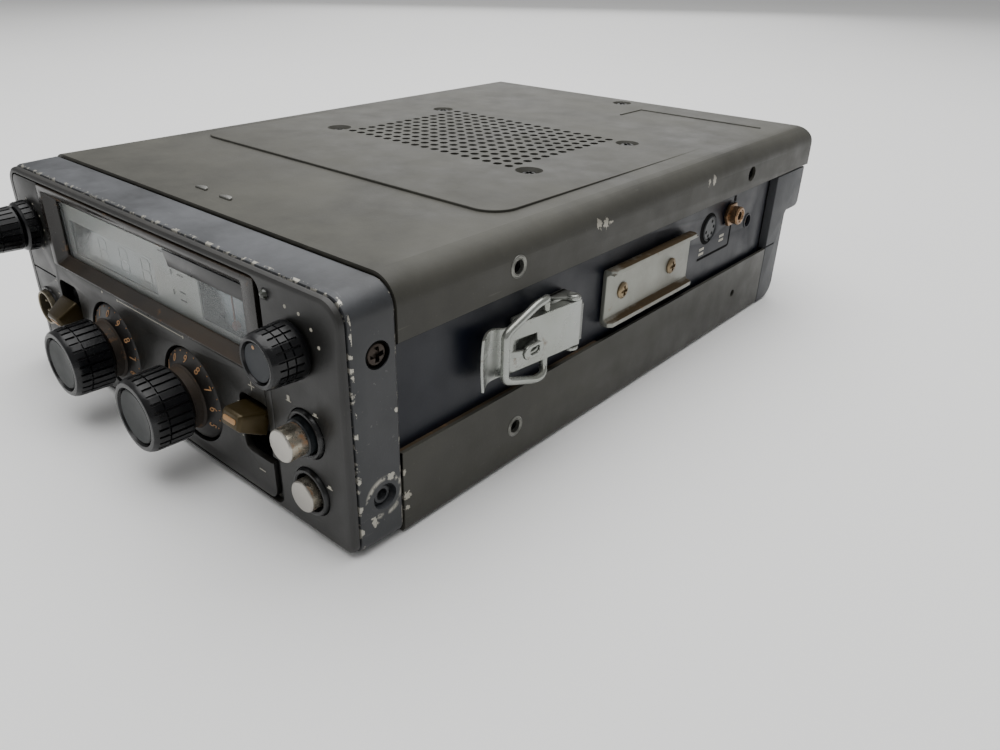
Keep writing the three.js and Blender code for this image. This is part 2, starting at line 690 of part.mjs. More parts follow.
function latchBase(side) {
  const { pinX, pinY, width } = LATCH;
  const plate = box(BAND_X + GAP, BAND_X + 1.5, 52, 92, BAND_Z - 9.4, BAND_Z + 9.4);
  let body = plate;
  for (const end of [-1, 1]) {
    const z = BAND_Z + end * (width / 2 + 0.8);
    const ear = join(
      box(BAND_X + 1, pinX, pinY - 3, pinY + 3, z - 0.5, z + 0.5),
      cylinder("z", [pinX, pinY], 3, z - 0.5, z + 0.5, 14),
    );
    body = join(body, ear);
  }
  return mirrored(body, side);
}

// The lever plate runs forward from the hinge pin to a curled finger tab.
function latchLever(side) {
  const { pinX, pinY, tabY, width } = LATCH;
  const low = BAND_X + 3.6;
  const s = new THREE.Shape();
  s.moveTo(pinY + 2.2, pinX + 1.4);
  s.lineTo(56, low + 1.4);
  s.lineTo(50, low + 0.6);
  s.lineTo(tabY, low + 3.4);
  s.lineTo(tabY, low + 2);
  s.lineTo(50, low - 0.8);
  s.lineTo(56, low);
  s.lineTo(pinY + 2.2, pinX - 0.2);
  const g = new THREE.ExtrudeGeometry(s, { depth: width - 1, bevelEnabled: false });
  const toWorld = new THREE.Matrix4().makeBasis(
    new THREE.Vector3(0, 1, 0),
    new THREE.Vector3(1, 0, 0),
    new THREE.Vector3(0, 0, -1),
  );
  let body = solid(g.applyMatrix4(toWorld).translate(0, 0, BAND_Z + (width - 1) / 2));
  body = join(body, cylinder("z", [pinX, pinY], 2.1, BAND_Z - width / 2, BAND_Z + width / 2, 16));
  const boss = [BAIL.x, BAIL.y];
  body = join(body, cylinder("z", boss, 2.6, BAND_Z - (width - 1) / 2, BAND_Z + (width - 1) / 2, 14));
  body = cut(body, cylinder("z", boss, BAIL.wire / 2 + 0.4, BAND_Z - 12, BAND_Z + 12, 10));
  return mirrored(body, side);
}

// The wire bail: a D-shaped loop whose two in-turned ends sit in the lever's boss.
function latchBail(side) {
  const { x, y: back, wire, half, front } = BAIL;
  const inner = (LATCH.width - 1) / 2 - 2.2;
  const at = (y, z) => new THREE.Vector3(x, y, BAND_Z + z);
  const upper = [
    [back, inner],
    [back, half - 1.4],
    [back - 1.4, half],
    [back - 9, half],
    [front + 2.4, half - 3],
    [front, half - 6],
  ];
  const lower = [...upper].reverse().map(([y, z]) => [y, -z]);
  const points = [...upper, ...lower].map(([y, z]) => at(y, z));
  const ring = new THREE.Shape().absarc(0, 0, wire / 2, 0, Math.PI * 2);
  const g = new THREE.ExtrudeGeometry(ring, {
    steps: 30,
    curveSegments: 3,
    bevelEnabled: false,
    extrudePath: new THREE.CatmullRomCurve3(points, false, "catmullrom", 0.1),
  });
  return mirrored(solid(g), side);
}

// ---------------------------------------------------------------- inside
const oval = (r0, r1, z0, z1) => {
  const g = new THREE.CylinderGeometry(r1, r0, z1 - z0, 28).rotateX(Math.PI / 2).scale(1.45, 1, 1);
  return solid(g.translate(SPEAKER.x, SPEAKER.y, (z0 + z1) / 2));
};

function speakerBasket() {
  const { x, y } = SPEAKER;
  const plate = pullZ(outline(x - 55, x + 55, y - 36, y + 36, 5), 70.4, 71.8);
  const body = join(plate, oval(17, 31, 58, 70.6), cylinder("z", [x, y], 17, 47, 58.4, 24));
  return cut(body, oval(15.2, 29.2, 58.9, 72));
}

function speakerCone() {
  return cut(oval(14, 27.6, 60.2, 70.8), oval(12.6, 26.4, 61.4, 72));
}

function upperBoard() {
  let body = box(-80, 80, 32, 222, 42.4, 44);
  for (const [x, y, w, d, h] of BOARD_PARTS) {
    body = join(body, box(x - w / 2, x + w / 2, y - d / 2, y + d / 2, 43.8, 44 + h));
  }
  return body;
}

const BOARD_PARTS = [
  [-62, 52, 18, 8, 5],
  [-30, 56, 22, 8, 5],
  [10, 50, 20, 9, 4],
  [44, 58, 14, 14, 10],
  [-60, 200, 16, 16, 12],
  [20, 204, 24, 10, 5],
  [60, 190, 12, 26, 9],
];

const lowerBoard = () => {
  let body = box(-80, 80, 32, 212, 14, 15.6);
  for (const [x, y, w, d, h] of BOARD_PARTS.slice(0, 4)) {
    body = join(body, box(-x - w / 2, w / 2 - x, y + 50 - d / 2, y + 50 + d / 2, 15.4, 15.6 + h));
  }
  return body;
};

const shieldCan = () => box(-70, -22, 120, 176, 16, 34);

function paModule() {
  const base = box(-26, 46, 226.4, 229.6, 8, 34);
  return join(base, box(-18, 2, 216, 226.6, 12, 30), box(14, 38, 218, 226.6, 12, 30));
}

// ---------------------------------------------------------------- assembly
piece("front_bezel", frontBezel(), BEZEL_PAINT);
piece("front_moulding", frontMoulding(), PANEL_BLACK);
piece("control_plate", controlPlate(), PANEL_BLACK);
piece("window_frame", windowFrame(), MATTE_BLACK);
piece("window_lens", slab(inset(VIEW, -2), 1.5, 2.8), GLASS);
piece("display_mask", displayMask(), MASK_GREY);
piece("name_plate_blank", slab({ x0: 10, x1: 49.4, z0: 60.4, z1: 65.2 }, 0.6, 1.3), MATTE_BLACK);
piece("digit_display", digitDisplay(), MATTE_BLACK);
piece("meter_body", meterBody(), MASK_GREY);
piece("meter_needle", meterNeedle(), NEEDLE_RED);
piece(
  "busy_lamp",
  turned(BUSY_LAMP_AT, [[0, -3.8], [0.8, -3.6], [1.3, PANEL_FACE], [1.3, -GAP], [0, -GAP]], 12),
  LAMP,
);
piece("squelch_ring", squelchRing(), KNOB_BLACK);
piece("volume_knob", volumeKnob(), KNOB_BLACK);
piece("mic_socket", micSocket(), SILVER);
piece("megahertz_lever", lever(MHZ_LEVER), GOLD);
piece("offset_lever", lever(OFFSET_LEVER), GOLD);
for (const [name, at] of [
  ["dial_100khz", DIAL_100_AT],
  ["dial_10khz", DIAL_10_AT],
]) {
  piece(name, tuningDial(at), KNOB_BLACK);
  piece(name + "_cap", dialCap(at), CAP_GREY);
}
piece("tone_knob", toneKnob(), KNOB_BLACK);
piece("tone_knob_cap", toneCap(), CAP_GREY);
piece("power_level_button", pushButton(LEVEL_BUTTON_AT, -10.6), SILVER);
piece("power_level_collar", buttonCollar(LEVEL_BUTTON_AT), MATTE_BLACK);
piece("power_button", pushButton(POWER_BUTTON_AT, -6), SILVER);
piece("power_collar", buttonCollar(POWER_BUTTON_AT), MATTE_BLACK);

piece("front_subpanel", subpanel(), STEEL);
for (const control of CONTROLS) piece(control.name, rotaryBody(control), STEEL);
for (const push of PUSH_SWITCHES) piece(push.name, pushBody(push), STEEL);
for (const unit of LEVER_SWITCHES) piece(unit.name, leverSwitchBody(unit), STEEL);

piece("top_cover", topCover(), COVER_PAINT);
piece("bottom_cover", bottomCover(), COVER_PAINT);
piece("chassis", chassis(), BAND_PAINT);
piece("rear_heatsink", heatsink(), CAST);
piece("antenna_socket", antennaSocket(), CHROME);
piece("power_inlet", powerInlet(), MATTE_BLACK);
piece("accessory_socket", sideSocket(), MATTE_BLACK);
piece("phono_jack", phonoJack(), BRASS);
piece("level_trimmer", trimmer(), BRASS);

for (const [name, side] of [
  ["right", 1],
  ["left", -1],
]) {
  piece("rail_" + name, rail(side), CHROME);
  piece("latch_base_" + name, latchBase(side), CHROME);
  piece("latch_lever_" + name, latchLever(side), CHROME);
  piece("latch_bail_" + name, latchBail(side), CHROME);
  piece("bezel_screw_" + name, bezelScrew(side), STEEL);
}

piece("speaker_basket", speakerBasket(), FERRITE);
piece("speaker_cone", speakerCone(), PAPER);
piece("upper_board", upperBoard(), BOARD);
piece("lower_board", lowerBoard(), BOARD);
piece("synthesizer_can", shieldCan(), STEEL);
piece("power_amplifier", paModule(), FERRITE);

export default root;
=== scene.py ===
"""The looks of a mobile transceiver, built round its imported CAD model.

Meshes are made in millimetres, with y = 0 at the bezel's front edge and z = 0 under the bottom
cover, and turned into the frame's metres when a piece is finished.
"""

import math

import bmesh
import bpy
from mathutils import Matrix, Vector


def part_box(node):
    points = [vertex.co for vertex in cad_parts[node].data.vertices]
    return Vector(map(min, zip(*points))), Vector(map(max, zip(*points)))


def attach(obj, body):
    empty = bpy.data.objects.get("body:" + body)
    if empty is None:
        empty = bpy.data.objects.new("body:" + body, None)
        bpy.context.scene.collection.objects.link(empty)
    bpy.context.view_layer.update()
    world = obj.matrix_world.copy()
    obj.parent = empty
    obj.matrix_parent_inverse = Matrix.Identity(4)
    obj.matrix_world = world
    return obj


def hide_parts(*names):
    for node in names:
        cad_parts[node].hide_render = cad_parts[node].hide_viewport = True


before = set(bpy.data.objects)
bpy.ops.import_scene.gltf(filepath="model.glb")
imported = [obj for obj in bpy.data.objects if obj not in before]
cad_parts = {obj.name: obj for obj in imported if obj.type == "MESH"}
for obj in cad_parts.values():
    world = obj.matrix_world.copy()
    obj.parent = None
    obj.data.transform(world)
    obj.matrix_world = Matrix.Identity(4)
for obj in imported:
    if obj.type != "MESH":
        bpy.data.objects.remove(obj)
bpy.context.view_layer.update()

MM = 0.001
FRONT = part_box("front_bezel")[0].y
TO_FRAME = Matrix.Translation((0, FRONT, 0)) @ Matrix.Scale(MM, 4)


def box_mm(node):
    """Lowest and highest corners of a CAD node, in working millimetres."""
    inverse = TO_FRAME.inverted()
    return [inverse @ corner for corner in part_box(node)]


def middle(node):
    """Middle of a CAD node's box, in working millimetres."""
    low, high = box_mm(node)
    return (low + high) / 2


# ------------------------------------------------------------------ meshes
# Every mesh has two material slots, its faces and its worn edges. Plain stand-ins keep the two
# apart through the booleans until the finished materials take their place.
STAND_INS = [bpy.data.materials.new(name) for name in ("plain_faces", "worn_edges")]


def add_slots(mesh):
    """Gives a mesh the two stand-in slots. Clearing the slots also sets every face to the first."""
    mesh.materials.clear()
    for material in STAND_INS:
        mesh.materials.append(material)


def make(name, verts, faces):
    """An object from points and faces."""
    mesh = bpy.data.meshes.new(name)
    mesh.from_pydata([tuple(v) for v in verts], [], faces)
    add_slots(mesh)
    obj = bpy.data.objects.new(name, mesh)
    bpy.context.scene.collection.objects.link(obj)
    outward(obj)
    return obj


def outward(obj):
    """Turns every face's normal outward."""
    bm = bmesh.new()
    bm.from_mesh(obj.data)
    bmesh.ops.recalc_face_normals(bm, faces=bm.faces)
    bm.to_mesh(obj.data)
    bm.free()


def modify(obj, kind, **settings):
    """Adds a modifier with these settings and keeps its result as the mesh."""
    modifier = obj.modifiers.new(kind, kind)
    for key, value in settings.items():
        setattr(modifier, key, value)
    graph = bpy.context.evaluated_depsgraph_get()
    result = bpy.data.meshes.new_from_object(obj.evaluated_get(graph))
    obj.modifiers.clear()
    old = obj.data
    obj.data = result
    bpy.data.meshes.remove(old)
    return obj


def bevel(obj, width, segments=2, angle=30, worn=True):
    """Rounds the edges. The new faces take the second material, the worn edge of the paint."""
    return modify(
        obj, "BEVEL", width=width, segments=segments, limit_method="ANGLE",
        angle_limit=math.radians(angle), material=1 if worn else 0, use_clamp_overlap=True,
    )


def remove(*objects):
    """Deletes objects, with their meshes."""
    for obj in objects:
        mesh = obj.data
        bpy.data.objects.remove(obj)
        if mesh.users == 0:
            bpy.data.meshes.remove(mesh)


def boolean(obj, operation, *tools):
    """Applies each tool to the object in turn, and deletes the tools."""
    for tool in tools:
        modify(obj, "BOOLEAN", operation=operation, object=tool, solver="EXACT")
        remove(tool)
    return obj


def cut(obj, *tools):
    """Takes the tools out of the object."""
    return boolean(obj, "DIFFERENCE", *tools)


def fuse(name, objects):
    """Puts several meshes into one object."""
    bm = bmesh.new()
    for obj in objects:
        bm.from_mesh(obj.data)
    mesh = bpy.data.meshes.new(name)
    add_slots(mesh)
    bm.to_mesh(mesh)
    bm.free()
    joined = bpy.data.objects.new(name, mesh)
    bpy.context.scene.collection.objects.link(joined)
    remove(*objects)
    return joined


AXES = {
    "x": lambda u, v, w: (w, u, v),
    "y": lambda u, v, w: (u, w, v),
    "z": lambda u, v, w: (u, v, w),
}


def loft(name, rings, axis):
    """A closed body through rings of points, each ring an outline and its place on the axis."""
    place = AXES[axis]
    count = len(rings[0][0])
    verts = [place(u, v, w) for outline, w in rings for u, v in outline]
    faces = [list(range(count)), list(range(len(verts) - count, len(verts)))]
    for level in range(len(rings) - 1):
        for i in range(count):
            j = (i + 1) % count
            a, b = level * count, (level + 1) * count
            faces.append([a + i, a + j, b + j, b + i])
    return make(name, verts, faces)


def prism(name, outline, axis, low, high):
    """A straight body with one outline."""
    return loft(name, [(outline, low), (outline, high)], axis)


def arc(cx, cy, r, start, end, steps=8):
    """Points along an arc, its angles in degrees."""
    angles = [math.radians(start + (end - start) * i / steps) for i in range(steps + 1)]
    return [(cx + r * math.cos(a), cy + r * math.sin(a)) for a in angles]


def rounded(x0, x1, y0, y1, r, steps=8):
    """A rounded rectangle; r is one radius or (lower, upper)."""
    low, high = r if isinstance(r, tuple) else (r, r)
    return (
        arc(x1 - low, y0 + low, low, -90, 0, steps)
        + arc(x1 - high, y1 - high, high, 0, 90, steps)
        + arc(x0 + high, y1 - high, high, 90, 180, steps)
        + arc(x0 + low, y0 + low, low, 180, 270, steps)
    )


def circle(cx, cy, r, sides=32):
    """A closed ring of points."""
    return arc(cx, cy, r, 0, 360 - 360 / sides, sides - 1)


def oblong(x0, x1, y0, y1):
    """A plain rectangle."""
    return [(x0, y0), (x1, y0), (x1, y1), (x0, y1)]


def grown(area, by):
    """An area (x0, x1, z0, z1) made larger all round."""
    x0, x1, z0, z1 = area
    return (x0 - by, x1 + by, z0 - by, z1 + by)


def facing(node):
    """The area (x0, x1, z0, z1) that a CAD node covers as seen from the front."""
    low, high = box_mm(node)
    return (low.x, high.x, low.z, high.z)


def spoke(centre, r, degrees):
    """The point at this distance and angle from a centre."""
    a = math.radians(degrees)
    return (centre[0] + r * math.cos(a), centre[1] + r * math.sin(a))


def sideways(side, near, far):
    """A span along X on one side of the set, lowest first."""
    return sorted((side * near, side * far))


def rod(name, axis, at, r, low, high, sides=32):
    """A round bar along an axis."""
    return prism(name, circle(at[0], at[1], r, sides), axis, low, high)


def block(name, x, y, z):
    """A box between three spans."""
    return prism(name, oblong(*x, *y), "z", *z)


def tab(name, x, z, w, h, y, r=0.3, steps=2):
    """A small flat plate that faces forwards, centred on (x, z), between two places on Y."""
    return prism(name, rounded(x - w / 2, x + w / 2, z - h / 2, z + h / 2, r, steps), "y", *y)


def lathe(name, axis, at, profile, sides=64, base=0.0):
    """A turned body about a line along the axis; the profile is [radius, place past the base]."""
    place = AXES[axis]
    verts, rings = [], []
    for r, w in profile:
        if r < 1e-6:
            rings.append([len(verts)] * sides)
            verts.append(place(at[0], at[1], base + w))
        else:
            rings.append(list(range(len(verts), len(verts) + sides)))
            verts += [place(u, v, base + w) for u, v in circle(at[0], at[1], r, sides)]
    closed = profile[0][0] > 1e-6
    pairs = list(zip(rings, rings[1:])) + ([(rings[-1], rings[0])] if closed else [])
    faces = []
    for a, b in pairs:
        for i in range(sides):
            j = (i + 1) % sides
            face = list(dict.fromkeys([a[i], a[j], b[j], b[i]]))
            if len(face) > 2:
                faces.append(face)
    return make(name, verts, faces)


def grip(name, at, profile, ribs, zone, depth, groove_at, duty=0.72):
    """A turned knob along Y whose grip zone carries raised ribs, split by grooves round it."""
    rows = []
    for (r0, y0), (r1, y1) in zip(profile, profile[1:]):
        inside = [y for y in zone_levels(zone, groove_at) if min(y0, y1) < y < max(y0, y1)]
        rows.append((r0, y0))
        for y in sorted(inside, reverse=y1 < y0):
            rows.append((r0 + (r1 - r0) * (y - y0) / (y1 - y0), y))
    rows.append(profile[-1])
    step = 2 * math.pi / ribs
    cuts = [(0.0, 0), (duty, 0), (duty + 0.06, 1), (0.94, 1)]
    angles = [(k * step + f * step, low) for k in range(ribs) for f, low in cuts]
    verts, rings = [], []
    for r, y in rows:
        if r < 1e-6:
            rings.append([len(verts)] * len(angles))
            verts.append((at[0], y, at[1]))
            continue
        rings.append(list(range(len(verts), len(verts) + len(angles))))
        inside = zone[0] + 0.01 < y < zone[1] - 0.01
        ring_groove = any(a + 0.01 < y < b - 0.01 for a, b in groove_at)
        for angle, low in angles:
            drop = depth if inside and (low or ring_groove) else 0
            verts.append((at[0] + (r - drop) * math.cos(angle), y, at[1] + (r - drop) * math.sin(angle)))
    faces = []
    for a, b in zip(rings, rings[1:]):
        for i in range(len(angles)):
            j = (i + 1) % len(angles)
            face = list(dict.fromkeys([a[i], a[j], b[j], b[i]]))
            if len(face) > 2:
                faces.append(face)
    return make(name, verts, faces)


def zone_levels(zone, grooves):
    """The places on Y where a grip's ribs or grooves step in or out."""
    edge = 0.12
    levels = [zone[0], zone[0] + edge, zone[1] - edge, zone[1]]
    for a, b in grooves:
        levels += [a, a + edge, b - edge, b]
    return levels


def tube(name, points, radius, sides=12, smooth=6):
    """A round wire through these points, its corners rounded."""
    curve = bpy.data.curves.new(name, "CURVE")
    curve.dimensions = "3D"
    curve.bevel_depth = radius
    curve.bevel_resolution = sides // 4
    curve.use_fill_caps = True
    spline = curve.splines.new("NURBS")
    spline.points.add(len(points) - 1)
    for point, at in zip(spline.points, points):
        point.co = (*at, 1)
    spline.order_u = 3
    spline.use_endpoint_u = True
    spline.resolution_u = smooth
    holder = bpy.data.objects.new(name + "_route", curve)
    bpy.context.scene.collection.objects.link(holder)
    graph = bpy.context.evaluated_depsgraph_get()
    mesh = bpy.data.meshes.new_from_object(holder.evaluated_get(graph))
    bpy.data.objects.remove(holder)
    add_slots(mesh)
    obj = bpy.data.objects.new(name, mesh)
    bpy.context.scene.collection.objects.link(obj)
    return obj


def from_cad(node, width=0.3, segments=2):
    """A copy of a CAD node's mesh with its edges rounded."""
    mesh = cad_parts[node].data.copy()
    mesh.transform(TO_FRAME.inverted())
    add_slots(mesh)
    obj = bpy.data.objects.new(node + "_look", mesh)
    bpy.context.scene.collection.objects.link(obj)
    bm = bmesh.new()
    bm.from_mesh(mesh)
    bmesh.ops.remove_doubles(bm, verts=bm.verts, dist=1e-4)
    bmesh.ops.dissolve_limit(bm, angle_limit=math.radians(1), verts=bm.verts, edges=bm.edges)
    bm.to_mesh(mesh)
    bm.free()
    for polygon in mesh.polygons:
        polygon.material_index = 0
    return bevel(obj, width, segments)


def mirror(obj, name):
    """The same piece on the other side."""
    mesh = obj.data.copy()
    mesh.transform(Matrix.Scale(-1, 4, (1, 0, 0)))
    mesh.flip_normals()
    other = bpy.data.objects.new(name, mesh)
    bpy.context.scene.collection.objects.link(other)
    return other


def done(obj, body, materials, replaces=(), smooth=32):
    """Turns a piece into the frame's metres, gives it its finish and lets it ride on its body."""
    obj.data.transform(TO_FRAME)
    pair = materials if isinstance(materials, tuple) else (materials, materials)
    for index, material in enumerate(pair):
        obj.data.materials[index] = material
    for polygon in obj.data.polygons:
        polygon.use_smooth = True
    obj.data.set_sharp_from_angle(angle=math.radians(smooth))
    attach(obj, body)
    for node in [replaces] if isinstance(replaces, str) else replaces:
        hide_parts(node)
    return obj


# ------------------------------------------------------------------ materials
def rgb(code):
    """Linear colour of an sRGB hex code."""
    channels = [int(code[i:i + 2], 16) / 255 for i in (0, 2, 4)]
    return (*[c / 12.92 if c <= 0.04045 else ((c + 0.055) / 1.055) ** 2.4 for c in channels], 1)


class Graph:
    """Short ways to add the nodes that the finishes share."""

    def __init__(self, name):
        self.material = bpy.data.materials.new(name)
        self.material.use_nodes = True
        self.tree = self.material.node_tree
        self.bsdf = self.tree.nodes["Principled BSDF"]
        self.place = self.tree.nodes.new("ShaderNodeTexCoord").outputs["Object"]

    def link(self, value, socket):
        if isinstance(value, bpy.types.NodeSocket):
            self.tree.links.new(value, socket)
        else:
            socket.default_value = value

    def math(self, operation, a, b=0.0):
        node = self.tree.nodes.new("ShaderNodeMath")
        node.operation = operation
        self.link(a, node.inputs[0])
        self.link(b, node.inputs[1])
        return node.outputs[0]

    def spread(self, value, low, high, to_low=0.0, to_high=1.0):
        node = self.tree.nodes.new("ShaderNodeMapRange")
        self.link(value, node.inputs["Value"])
        ends = {"From Min": low, "From Max": high, "To Min": to_low, "To Max": to_high}
        for socket, number in ends.items():
            node.inputs[socket].default_value = number
        return node.outputs["Result"]

    def noise(self, scale, detail=4, roughness=0.55, stretch=None, offset=0.0):
        node = self.tree.nodes.new("ShaderNodeTexNoise")
        node.inputs["Scale"].default_value = scale
        node.inputs["Detail"].default_value = detail
        node.inputs["Roughness"].default_value = roughness
        mapping = self.tree.nodes.new("ShaderNodeMapping")
        self.link(self.place, mapping.inputs["Vector"])
        mapping.inputs["Scale"].default_value = stretch or (1, 1, 1)
        mapping.inputs["Location"].default_value = (offset, offset * 0.7, offset * 1.3)
        self.tree.links.new(mapping.outputs["Vector"], node.inputs["Vector"])
        return node.outputs["Fac"]

    def mix(self, factor, a, b):
        node = self.tree.nodes.new("ShaderNodeMix")
        node.data_type = "RGBA"
        self.link(factor, node.inputs[0])
        self.link(a, node.inputs[6])
        self.link(b, node.inputs[7])
        return node.outputs[2]

    def blend(self, factor, a, b):
        node = self.tree.nodes.new("ShaderNodeMix")
        self.link(factor, node.inputs[0])
        self.link(a, node.inputs[2])
        self.link(b, node.inputs[3])
        return node.outputs[0]

    def up(self):
        geometry = self.tree.nodes.new("ShaderNodeNewGeometry")
        split = self.tree.nodes.new("ShaderNodeSeparateXYZ")
        self.tree.links.new(geometry.outputs["Normal"], split.inputs[0])
        return split.outputs["Z"]

    def near(self, point, radius, core=0.0):
        """1 in the core of a round place in the working space, 0 beyond its radius, in millimetres."""
        node = self.tree.nodes.new("ShaderNodeVectorMath")
        node.operation = "DISTANCE"
        self.link(self.place, node.inputs[0])
        node.inputs[1].default_value = TO_FRAME @ Vector(point)
        return self.spread(node.outputs["Value"], radius * MM, radius * core * MM)


def surface(
    name, base, alt, rough, metal=0.0, blotch=30, grain=1500, bump=0.05, dust=None, chips=0.0,
    bare="b9b9b4", rust=0.0, rust_rgb="6b4526", scratch=0.0, scratch_rgb="8d8d88", spots=(), coat=0.0,
    specular=0.5, halos=(), painted_reflections=(),
):
    """A finish with blotches, grain, dust on upward faces, chips to bare metal, rust and scratches.

    Spots and halos are places (and rings round them) where the paint is chipped; the painted
    reflections are places painted dark, standing in for dark things reflected in the surface.
    """
    g = Graph(name)
    fine = g.noise(grain, 3)
    colour = g.mix(g.spread(g.noise(blotch, 5), 0.35, 0.65), rgb(base), rgb(alt))
    colour = g.mix(g.spread(fine, 0.55, 0.8, 0, 0.18), colour, rgb(alt))
    roughness = g.spread(g.noise(blotch * 3, 4, offset=3), 0.3, 0.7, rough - 0.08, rough + 0.08)
    metallic = metal
    if scratch:
        lines = g.math(
            "MAXIMUM",
            g.spread(g.noise(60, 2, stretch=(1, 14, 14), offset=5), 0.70, 0.76),
            g.spread(g.noise(55, 2, stretch=(16, 1.2, 16), offset=9), 0.72, 0.78),
        )
        colour = g.mix(g.math("MULTIPLY", lines, scratch), colour, rgb(scratch_rgb))
    if dust:
        shade, amount = dust
        upward = g.spread(g.up(), 0.2, 1.0, 0.15, 1.0)
        patchy = g.spread(g.noise(22, 6, 0.7), 0.3, 0.75)
        settled = g.math("MULTIPLY", g.math("MULTIPLY", upward, patchy), amount)
        colour = g.mix(settled, colour, rgb(shade))
        roughness = g.blend(settled, roughness, 0.75)
    if rust:
        stain = g.spread(g.noise(130, 8, 0.7, offset=11), 0.66 - rust * 0.3, 0.78 - rust * 0.3)
        colour = g.mix(stain, colour, g.mix(fine, rgb(rust_rgb), rgb("8f6a44")))
        roughness = g.blend(stain, roughness, 0.8)
        metallic = g.blend(stain, metallic, 0.0)
    worn = None
    if chips:
        worn = g.spread(g.noise(300, 7, 0.65, offset=2), 0.74 - chips * 0.4, 0.77 - chips * 0.4)
    for point, radius in spots:
        ragged = g.spread(g.noise(500, 5, 0.65, offset=7), 0.3, 0.7, -0.5, 0.5)
        patch = g.spread(g.math("ADD", g.near(point, radius), ragged), 0.5, 0.58)
        worn = patch if worn is None else g.math("MAXIMUM", worn, patch)
    for point, radius in halos:
        outer = g.math("SUBTRACT", g.near(point, radius + 1.1, 0.85), g.near(point, radius, 0.85))
        patch = g.math("MULTIPLY", outer, g.spread(g.noise(170, 5, 0.7, offset=4), 0.5, 0.58))
        worn = patch if worn is None else g.math("MAXIMUM", worn, patch)
    # Painted reflection: each listed place is darkened towards near black, as a dark thing reflected in
    # the surface.
    for point, radius in painted_reflections:
        colour = g.mix(g.math("MULTIPLY", g.near(point, radius, 0.6), 0.93), colour, rgb("0b0c0e"))
    if worn is not None:
        colour = g.mix(worn, colour, rgb(bare))
        roughness = g.blend(worn, roughness, 0.42)
        metallic = g.blend(worn, metallic, 0.7)
    node = g.tree.nodes.new("ShaderNodeBump")
    node.inputs["Strength"].default_value = bump
    node.inputs["Distance"].default_value = 0.0004
    g.link(fine, node.inputs["Height"])
    g.link(node.outputs["Normal"], g.bsdf.inputs["Normal"])
    g.link(colour, g.bsdf.inputs["Base Color"])
    g.link(roughness, g.bsdf.inputs["Roughness"])
    g.link(metallic, g.bsdf.inputs["Metallic"])
    g.bsdf.inputs["Specular IOR Level"].default_value = specular
    g.bsdf.inputs["Coat Weight"].default_value = coat
    return g.material


def painted(name, chips=0.22, **settings):
    """A paint and the same paint along a worn edge."""
    return surface(name, **settings), surface(name + "_worn", chips=chips, **settings)


def clear_sheet(name, tint, alpha):
    """A clear plastic window: mostly see-through, with faint smears."""
    g = Graph(name)
    smear = g.spread(g.noise(60, 6, 0.7), 0.45, 0.8)
    g.link(g.mix(smear, rgb(tint), rgb("b9b4a6")), g.bsdf.inputs["Base Color"])
    g.link(g.spread(smear, 0, 1, 0.04, 0.2), g.bsdf.inputs["Roughness"])
    g.link(g.spread(smear, 0, 1, alpha, alpha + 0.06), g.bsdf.inputs["Alpha"])
    return g.material


# A painted finish is a pair, the paint and its worn edge. The other finishes are single. Colours are
# sRGB hex codes, and places on a finish are in working millimetres.
COVER = painted(
    "cover_enamel", chips=0.36, base="33322d", alt="3a3933", rough=0.5, dust=("5f5e56", 0.7), bump=0.1,
    scratch=0.22, scratch_rgb="66645b", specular=0.35, bare="a19d92",
    spots=[
        ((90.4, 99.5, 68.2), 2.6), ((90.4, 102.5, 67.8), 3.0), ((90.4, 105, 67.2), 2.0),
        ((90.4, 170, 67.6), 2.6), ((90.4, 173.5, 67.8), 2.8), ((91, 16, 12), 2.2), ((91, 16, 8), 1.6),
        ((91, 15, 20), 1.8),
    ],
)
BEZEL = painted(
    "bezel_enamel", chips=0.52, base="17191b", alt="1d1f22", rough=0.38, dust=("66686c", 0.95),
    scratch=0.2, bare="a9a69c",
    spots=[((91, 10.8, 21.5), 2.4), ((91, 4.6, 9.5), 2.6), ((91, 13.5, 40), 1.6)],
    halos=[((91, 8.4, 15.9), 5.6)],
)
BAND = painted(
    "chassis_enamel", chips=0.1, base="070b16", alt="0b101c", rough=0.4, specular=0.35, scratch=0.15,
    scratch_rgb="3c4048",
)
CAST = painted(
    "cast_enamel", chips=0.14, base="35363a", alt="3d3f42", rough=0.5, bump=0.2, dust=("6a6a64", 0.4),
)
PANEL = painted("panel_enamel", chips=0.12, base="141413", alt="1a1a18", rough=0.4, dust=("423e38", 0.4),
                scratch=0.3, scratch_rgb="46443f", bare="8a7d68")
RIM = painted(
    "rim_black", chips=0.1, base="0d0d0e", alt="151515", rough=0.35, dust=("3c3a36", 0.3),
    bare="9a968b",
)
WINDOW = painted("window_moulding_black", chips=0.08, base="121110", alt="191715", rough=0.26,
                 dust=("4a3c2c", 0.9), rust=0.2, rust_rgb="3b2a1b", bare="5b4f41")
KNOB = painted(
    "knob_black", chips=0.0, base="040507", alt="08090d", rough=0.27, dust=("26221f", 0.22),
    specular=0.4,
)
SKIRT = painted(
    "skirt_black", chips=0.0, base="0b0b0d", alt="14120f", rough=0.42, dust=("36291c", 0.35), rust=0.12,
    rust_rgb="35240f", bare="3f372f",
)
NECK = surface(
    "neck_brown", base="2a1f14", alt="1a140e", rough=0.6, rust=0.4, rust_rgb="4a331c",
    dust=("4b3b28", 0.6), bump=0.2,
)
CAP = surface("cap_grey", base="191d1d", alt="1f2323", rough=0.45, specular=0.25, bump=0.03)
TONE_CAP = surface("cap_blue_grey", base="161b20", alt="1b2026", rough=0.42, specular=0.25, bump=0.03)
COLLAR = surface("collar_black", base="0a0b0c", alt="101113", rough=0.3, dust=("2b2927", 0.3))
SLEEVE = surface("sleeve_grey", base="14191c", alt="1a1f22", rough=0.35, dust=("33312e", 0.3))
GOLD = painted(
    "lever_gold", chips=0.06, base="352b13", alt="43371b", rough=0.3, metal=0.5, dust=("3c3424", 0.3),
    bare="8d7748",
)
GOLD_BAR = surface("lever_bar", base="b08a5e", alt="96714a", rough=0.4, metal=0.1)
